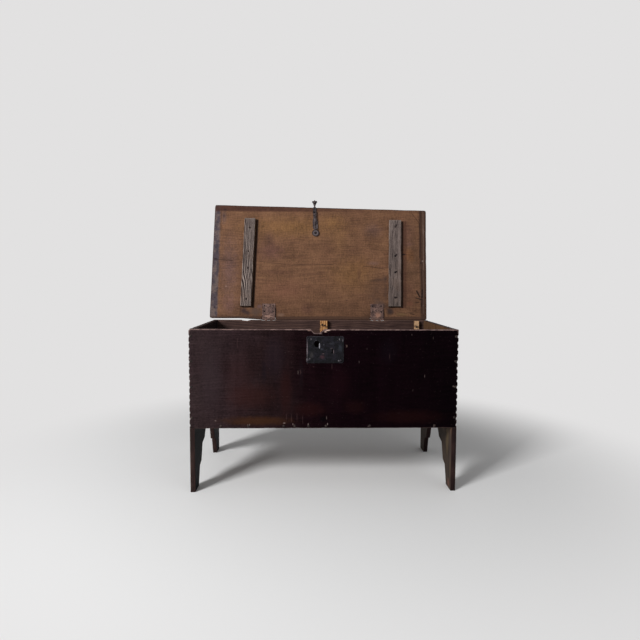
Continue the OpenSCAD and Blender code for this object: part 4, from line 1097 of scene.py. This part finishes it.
def make_batten(node, seed):
    low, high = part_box(node)
    board = Board((high.x, low.y, low.z), (0, 0, 1), (-1, 0, 0))
    wide, tall = high.x - low.x, high.z - low.z
    return slab(node + "_worn", board, rect(0, tall, 0, wide), high.y - low.y, [0, tall], [0, wide],
                (8 * MM, 4 * MM), Wear(1.2, 2.5, 0.5, 0.8, (0.2, 0.02), seed=seed))


def round_corner(before, corner, after):
    """Points round a corner of the lid, from the side it shares with the corner before it."""
    behind, ahead = unit(before - corner), unit(after - corner)
    shares = [k / LID_CORNER_STEPS for k in range(LID_CORNER_STEPS + 1)]
    return [corner + LID_CORNER_R * ((1 - part) ** 2 * behind + part ** 2 * ahead) for part in shares]


def lid_outline(quad):
    """Rounded corners, and a back edge that runs back to the left hinge, with notches for both hinges."""
    left_back, back = quad[0][1], quad[1][1]
    slope = (back - left_back) * (1 - HINGE_NOTCH_HALF / LID_RUN)
    back_edge = [(HINGE_X[0] - LID_RUN, left_back)]
    for x, edge in zip(HINGE_X, (left_back + slope, back)):
        near, far = x - HINGE_NOTCH_HALF, x + HINGE_NOTCH_HALF
        back_edge += [(near, edge), (near, LID_NOTCH), (far, LID_NOTCH), (far, back)]
    corners = [round_corner(quad[i - 1], quad[i], quad[(i + 1) % 4]) for i in range(4)]
    return corners[0] + back_edge + corners[1] + corners[2] + corners[3]


def make_lid():
    board = Board(lid_origin, (1, 0, 0), lid_up)
    quad = np.array(LID_CORNERS) * MM
    loop = lid_outline(quad)
    left_back, back = quad[0][1], quad[1][1]
    quad[0][1] = back

    def warp(points):
        u, v = points[:, :1], points[:, 1:]
        return ((1 - u) * (1 - v) * quad[0] + u * (1 - v) * quad[1] + u * v * quad[2]
                + (1 - u) * v * quad[3])

    gains = [(x + side * HINGE_NOTCH_HALF - quad[0][0]) / (quad[1][0] - quad[0][0])
             for x in HINGE_X for side in (-1, 1)]
    tall = quad[3][1] - back
    rows = [(edge - back) / tall for edge in (back, left_back, LID_NOTCH, quad[3][1])]
    return slab("lid_board_worn", board, loop, LID_T, [0, 1] + gains, rows, LID_CELL,
                Wear(1.6, 2.5, 0.5, 0.8, seed=7), warp=warp)


def make_cleat(name, cleat, seed):
    (x0, s0), (x1, s1), wide, thick = cleat
    start, end = Vector((-x0, s0)) * MM, Vector((-x1, s1)) * MM
    half = wide / 2 * MM
    board = Board(lid_origin - lid_deep * thick * MM, lid_up, (-1, 0, 0))
    outline = [(start.y, start.x - half), (end.y, end.x - half), (end.y, end.x + half),
               (start.y, start.x + half)]
    slope = (end.x - start.x) / (end.y - start.y)

    def warp(points):
        moved = points.copy()
        moved[:, 1] += slope * (points[:, 0] - start.y)
        return moved

    return slab(name, board, outline, thick * MM, [start.y, end.y], [start.x - half, start.x + half],
                (6 * MM, 1.8 * MM), Wear(1.5, 3, 1.1, 1.0, (0.16, 0.0035), seed=seed), warp=warp)


def plate_outline():
    x0, x1, z0, z1 = plate_low.x, plate_high.x, plate_low.z, plate_high.z
    k = PLATE_CORNER
    return [(x0 + k, z0), (x1 - k, z0), (x1, z0 + k), (x1, z1 - k), (x1 - k, z1), (x0 + k, z1),
            (x0, z1 - k), (x0, z0 + k)]


def slot_outline():
    right, low, high = SLOT_SIDES[1:]
    up, down = (math.degrees(math.asin((z - SLOT_MIDDLE[1]) / SLOT_R)) for z in (high, low))
    return [(right, low), (right, high)] + arc(SLOT_MIDDLE, SLOT_R, 180 - up, 180 - down, 14)


def keyhole_outline():
    x, z = KEYHOLE
    half = KEYHOLE_W / 2
    lean = math.degrees(math.acos(half / KEYHOLE_R))
    foot = [(x - half, z - KEYHOLE_DROP), (x + half, z - KEYHOLE_DROP)]
    return foot + arc(KEYHOLE, KEYHOLE_R, -lean, 180 + lean, 12)


def make_plate():
    left, right, low, high = SLOT_SIDES
    x, z = KEYHOLE
    a_lines = [plate_low.x, plate_high.x, left, right, x - KEYHOLE_W / 2, x + KEYHOLE_W / 2]
    c_lines = [plate_low.z, plate_high.z, low, high, z - KEYHOLE_DROP]
    return slab("lock_plate_worn", standing(plate_low.y), plate_outline(), plate_high.y - plate_low.y,
                a_lines, c_lines, (1.8 * MM, 1.8 * MM), Wear(0.4, 0.4, 0.45, 0.9, (0.03, 0.03), seed=9),
                holes=(slot_outline()[::-1], keyhole_outline()[::-1]))


# Stage, lights and camera

def make_floor():
    turns = [2 * math.pi * i / FLOOR_SIDES for i in range(FLOOR_SIDES)]
    mesh = bpy.data.meshes.new("floor")
    mesh.from_pydata([(FLOOR_R * math.cos(t), FLOOR_R * math.sin(t), 0) for t in turns], [],
                     [list(range(FLOOR_SIDES))])
    floor = bpy.data.objects.new("floor", mesh)
    bpy.context.scene.collection.objects.link(floor)
    look = Shader("floor_paint")
    far = look.range(look.vector("LENGTH", look.object_place()), *FLOOR_FADE)
    glow = look.node("ShaderNodeEmission", {"Color": BACKDROP, "Strength": 1.0}).outputs[0]
    look.surface.inputs["Base Color"].default_value = linear(FLOOR_PAINT)
    look.surface.inputs["Roughness"].default_value = 0.9
    mixed = look.mix_shaders(look.times(far, look.seen()), look.surface.outputs[0], glow)
    look.feed(look.tree.nodes["Material Output"].inputs["Surface"], mixed)
    mesh.materials.append(look.material)


def area_light(name, at, size, power):
    data = bpy.data.lights.new(name, "AREA")
    data.shape = "SQUARE"
    data.size = size
    data.energy = power
    light = bpy.data.objects.new(name, data)
    light.location = at
    light.rotation_euler = (Vector(LIGHTS_AIM) - Vector(at)).to_track_quat("-Z", "Y").to_euler()
    bpy.context.scene.collection.objects.link(light)


def make_world():
    """Even, soft light, behind a backdrop that only the camera sees."""
    world = bpy.data.worlds.new("studio")
    bpy.context.scene.world = world
    world.use_nodes = True
    world.node_tree.nodes.clear()
    nodes = Nodes(world.node_tree)
    light = nodes.node("ShaderNodeBackground", {0: (255, 255, 255), 1: AMBIENT}).outputs[0]
    backdrop = nodes.node("ShaderNodeBackground", {0: BACKDROP, 1: 1.0}).outputs[0]
    nodes.node("ShaderNodeOutputWorld", {0: nodes.mix_shaders(nodes.seen(), light, backdrop)})


def make_camera():
    data = bpy.data.cameras.new("camera")
    data.lens = CAMERA_LENS
    data.sensor_width = CAMERA_SENSOR
    camera = bpy.data.objects.new("camera", data)
    ahead = Vector((math.sin(CAMERA_YAW) * math.cos(CAMERA_PITCH),
                    math.cos(CAMERA_YAW) * math.cos(CAMERA_PITCH), -math.sin(CAMERA_PITCH)))
    level = ahead.cross(Vector((0, 0, 1))).normalized()
    right = level * math.cos(CAMERA_ROLL) + level.cross(ahead) * math.sin(CAMERA_ROLL)
    up = right.cross(ahead)
    turn = Matrix((right, up, -ahead)).transposed()
    camera.matrix_world = Matrix.Translation(CAMERA_AT) @ turn.to_4x4()
    bpy.context.scene.collection.objects.link(camera)
    bpy.context.scene.camera = camera


# The part's own pieces

front_wood = front_look()
back_wood = back_look()
# The left end board's near-black inner tones, above and in its feet, are painted shade, which also covers
# its edges for 6 mm beside the inner face; the dark edge tones of the right end board are painted shade too.
left_end_wood = end_look("left_end_wood", 3, ((18, 14, 16), (27, 21, 23), (40, 32, 33)),
                         ((2, 2, 3), (5, 5, 8), (12, 12, 16)),
                         ((26, 18, 18), (42, 30, 28), (60, 44, 40)), 6)
right_end_wood = end_look("right_end_wood", 4, ((62, 43, 33), (92, 67, 47), (118, 89, 66)),
                          ((36, 29, 24), (54, 44, 37), (72, 60, 50)),
                          ((16, 8, 9), (30, 18, 18), (46, 31, 29)), 1, FOOT_MARKS)
bottom_wood = bottom_look()
lid_wood = lid_look()
grey_wood = cleat_look()
pale_wood = batten_look()
plate_iron = plate_look()
lock_iron = iron("lock_iron", (30, 28, 28), (44, 40, 40), (66, 52, 46), 12, 0.55)
hinge_iron = iron("hinge_iron", (66, 50, 47), (97, 76, 70), (132, 105, 96), 9, 0.8, HINGE_MARKS)
hasp_iron = iron("hasp_iron", (26, 21, 23), (54, 46, 48), (88, 78, 78), 12, 0.6, HASP_MARKS)
nail_iron = iron("nail_iron", (22, 17, 17), (38, 30, 28), (66, 54, 50), 8, 0.7, NAIL_MARKS)

dress(make_front(), "front_board", "chest", front_wood)
dress(make_back(), "back_board", "chest", back_wood)
dress(make_end("left_end_worn", left_low, left_high, -1, 3), "left_end_board", "chest",
      left_end_wood)
dress(make_end("right_end_worn", right_low, right_high, 1, 4), "right_end_board", "chest",
      right_end_wood)
dress(make_bottom(), "bottom_board", "chest", bottom_wood)
dress(make_batten("centre_batten", 6), "centre_batten", "chest", pale_wood)
dress(make_batten("right_batten", 8), "right_batten", "chest", pale_wood)
dress(make_lid(), "lid_board", "lid", lid_wood)
dress(make_cleat("left_cleat_worn", LEFT_CLEAT, 11), "left_cleat", "lid", grey_wood)
dress(make_cleat("right_cleat_worn", RIGHT_CLEAT, 12), "right_cleat", "lid", grey_wood)
dress(make_plate(), "lock_plate", "chest", plate_iron)

IRON_NODES = {
    plate_iron: ("lock_plate_nails",),
    lock_iron: ("bolt_keeper", "bolt_guide", "bolt_stud", "lock_spring", "key_guard", "lock_bolt"),
    hinge_iron: ("left_hinge_back_leaf", "right_hinge_back_leaf", "left_hinge_pin", "right_hinge_pin",
                 "left_hinge_lid_leaf", "right_hinge_lid_leaf"),
    hasp_iron: ("hasp_strap", "hasp_pin", "hasp_leaf", "hasp_staple"),
    nail_iron: ("front_nails", "back_nails", "end_nails", "batten_nails", "hinge_back_nails",
                "cleat_nails", "hinge_lid_nails", "hasp_strap_nails"),
}
for material, names in IRON_NODES.items():
    for name in names:
        data = frame["nodes"][name].data
        data.materials.clear()
        data.materials.append(material)

make_floor()
make_world()
area_light("key", *KEY_LIGHT)
area_light("fill", *FILL_LIGHT)
make_camera()
bpy.context.scene.view_settings.view_transform = "Standard"
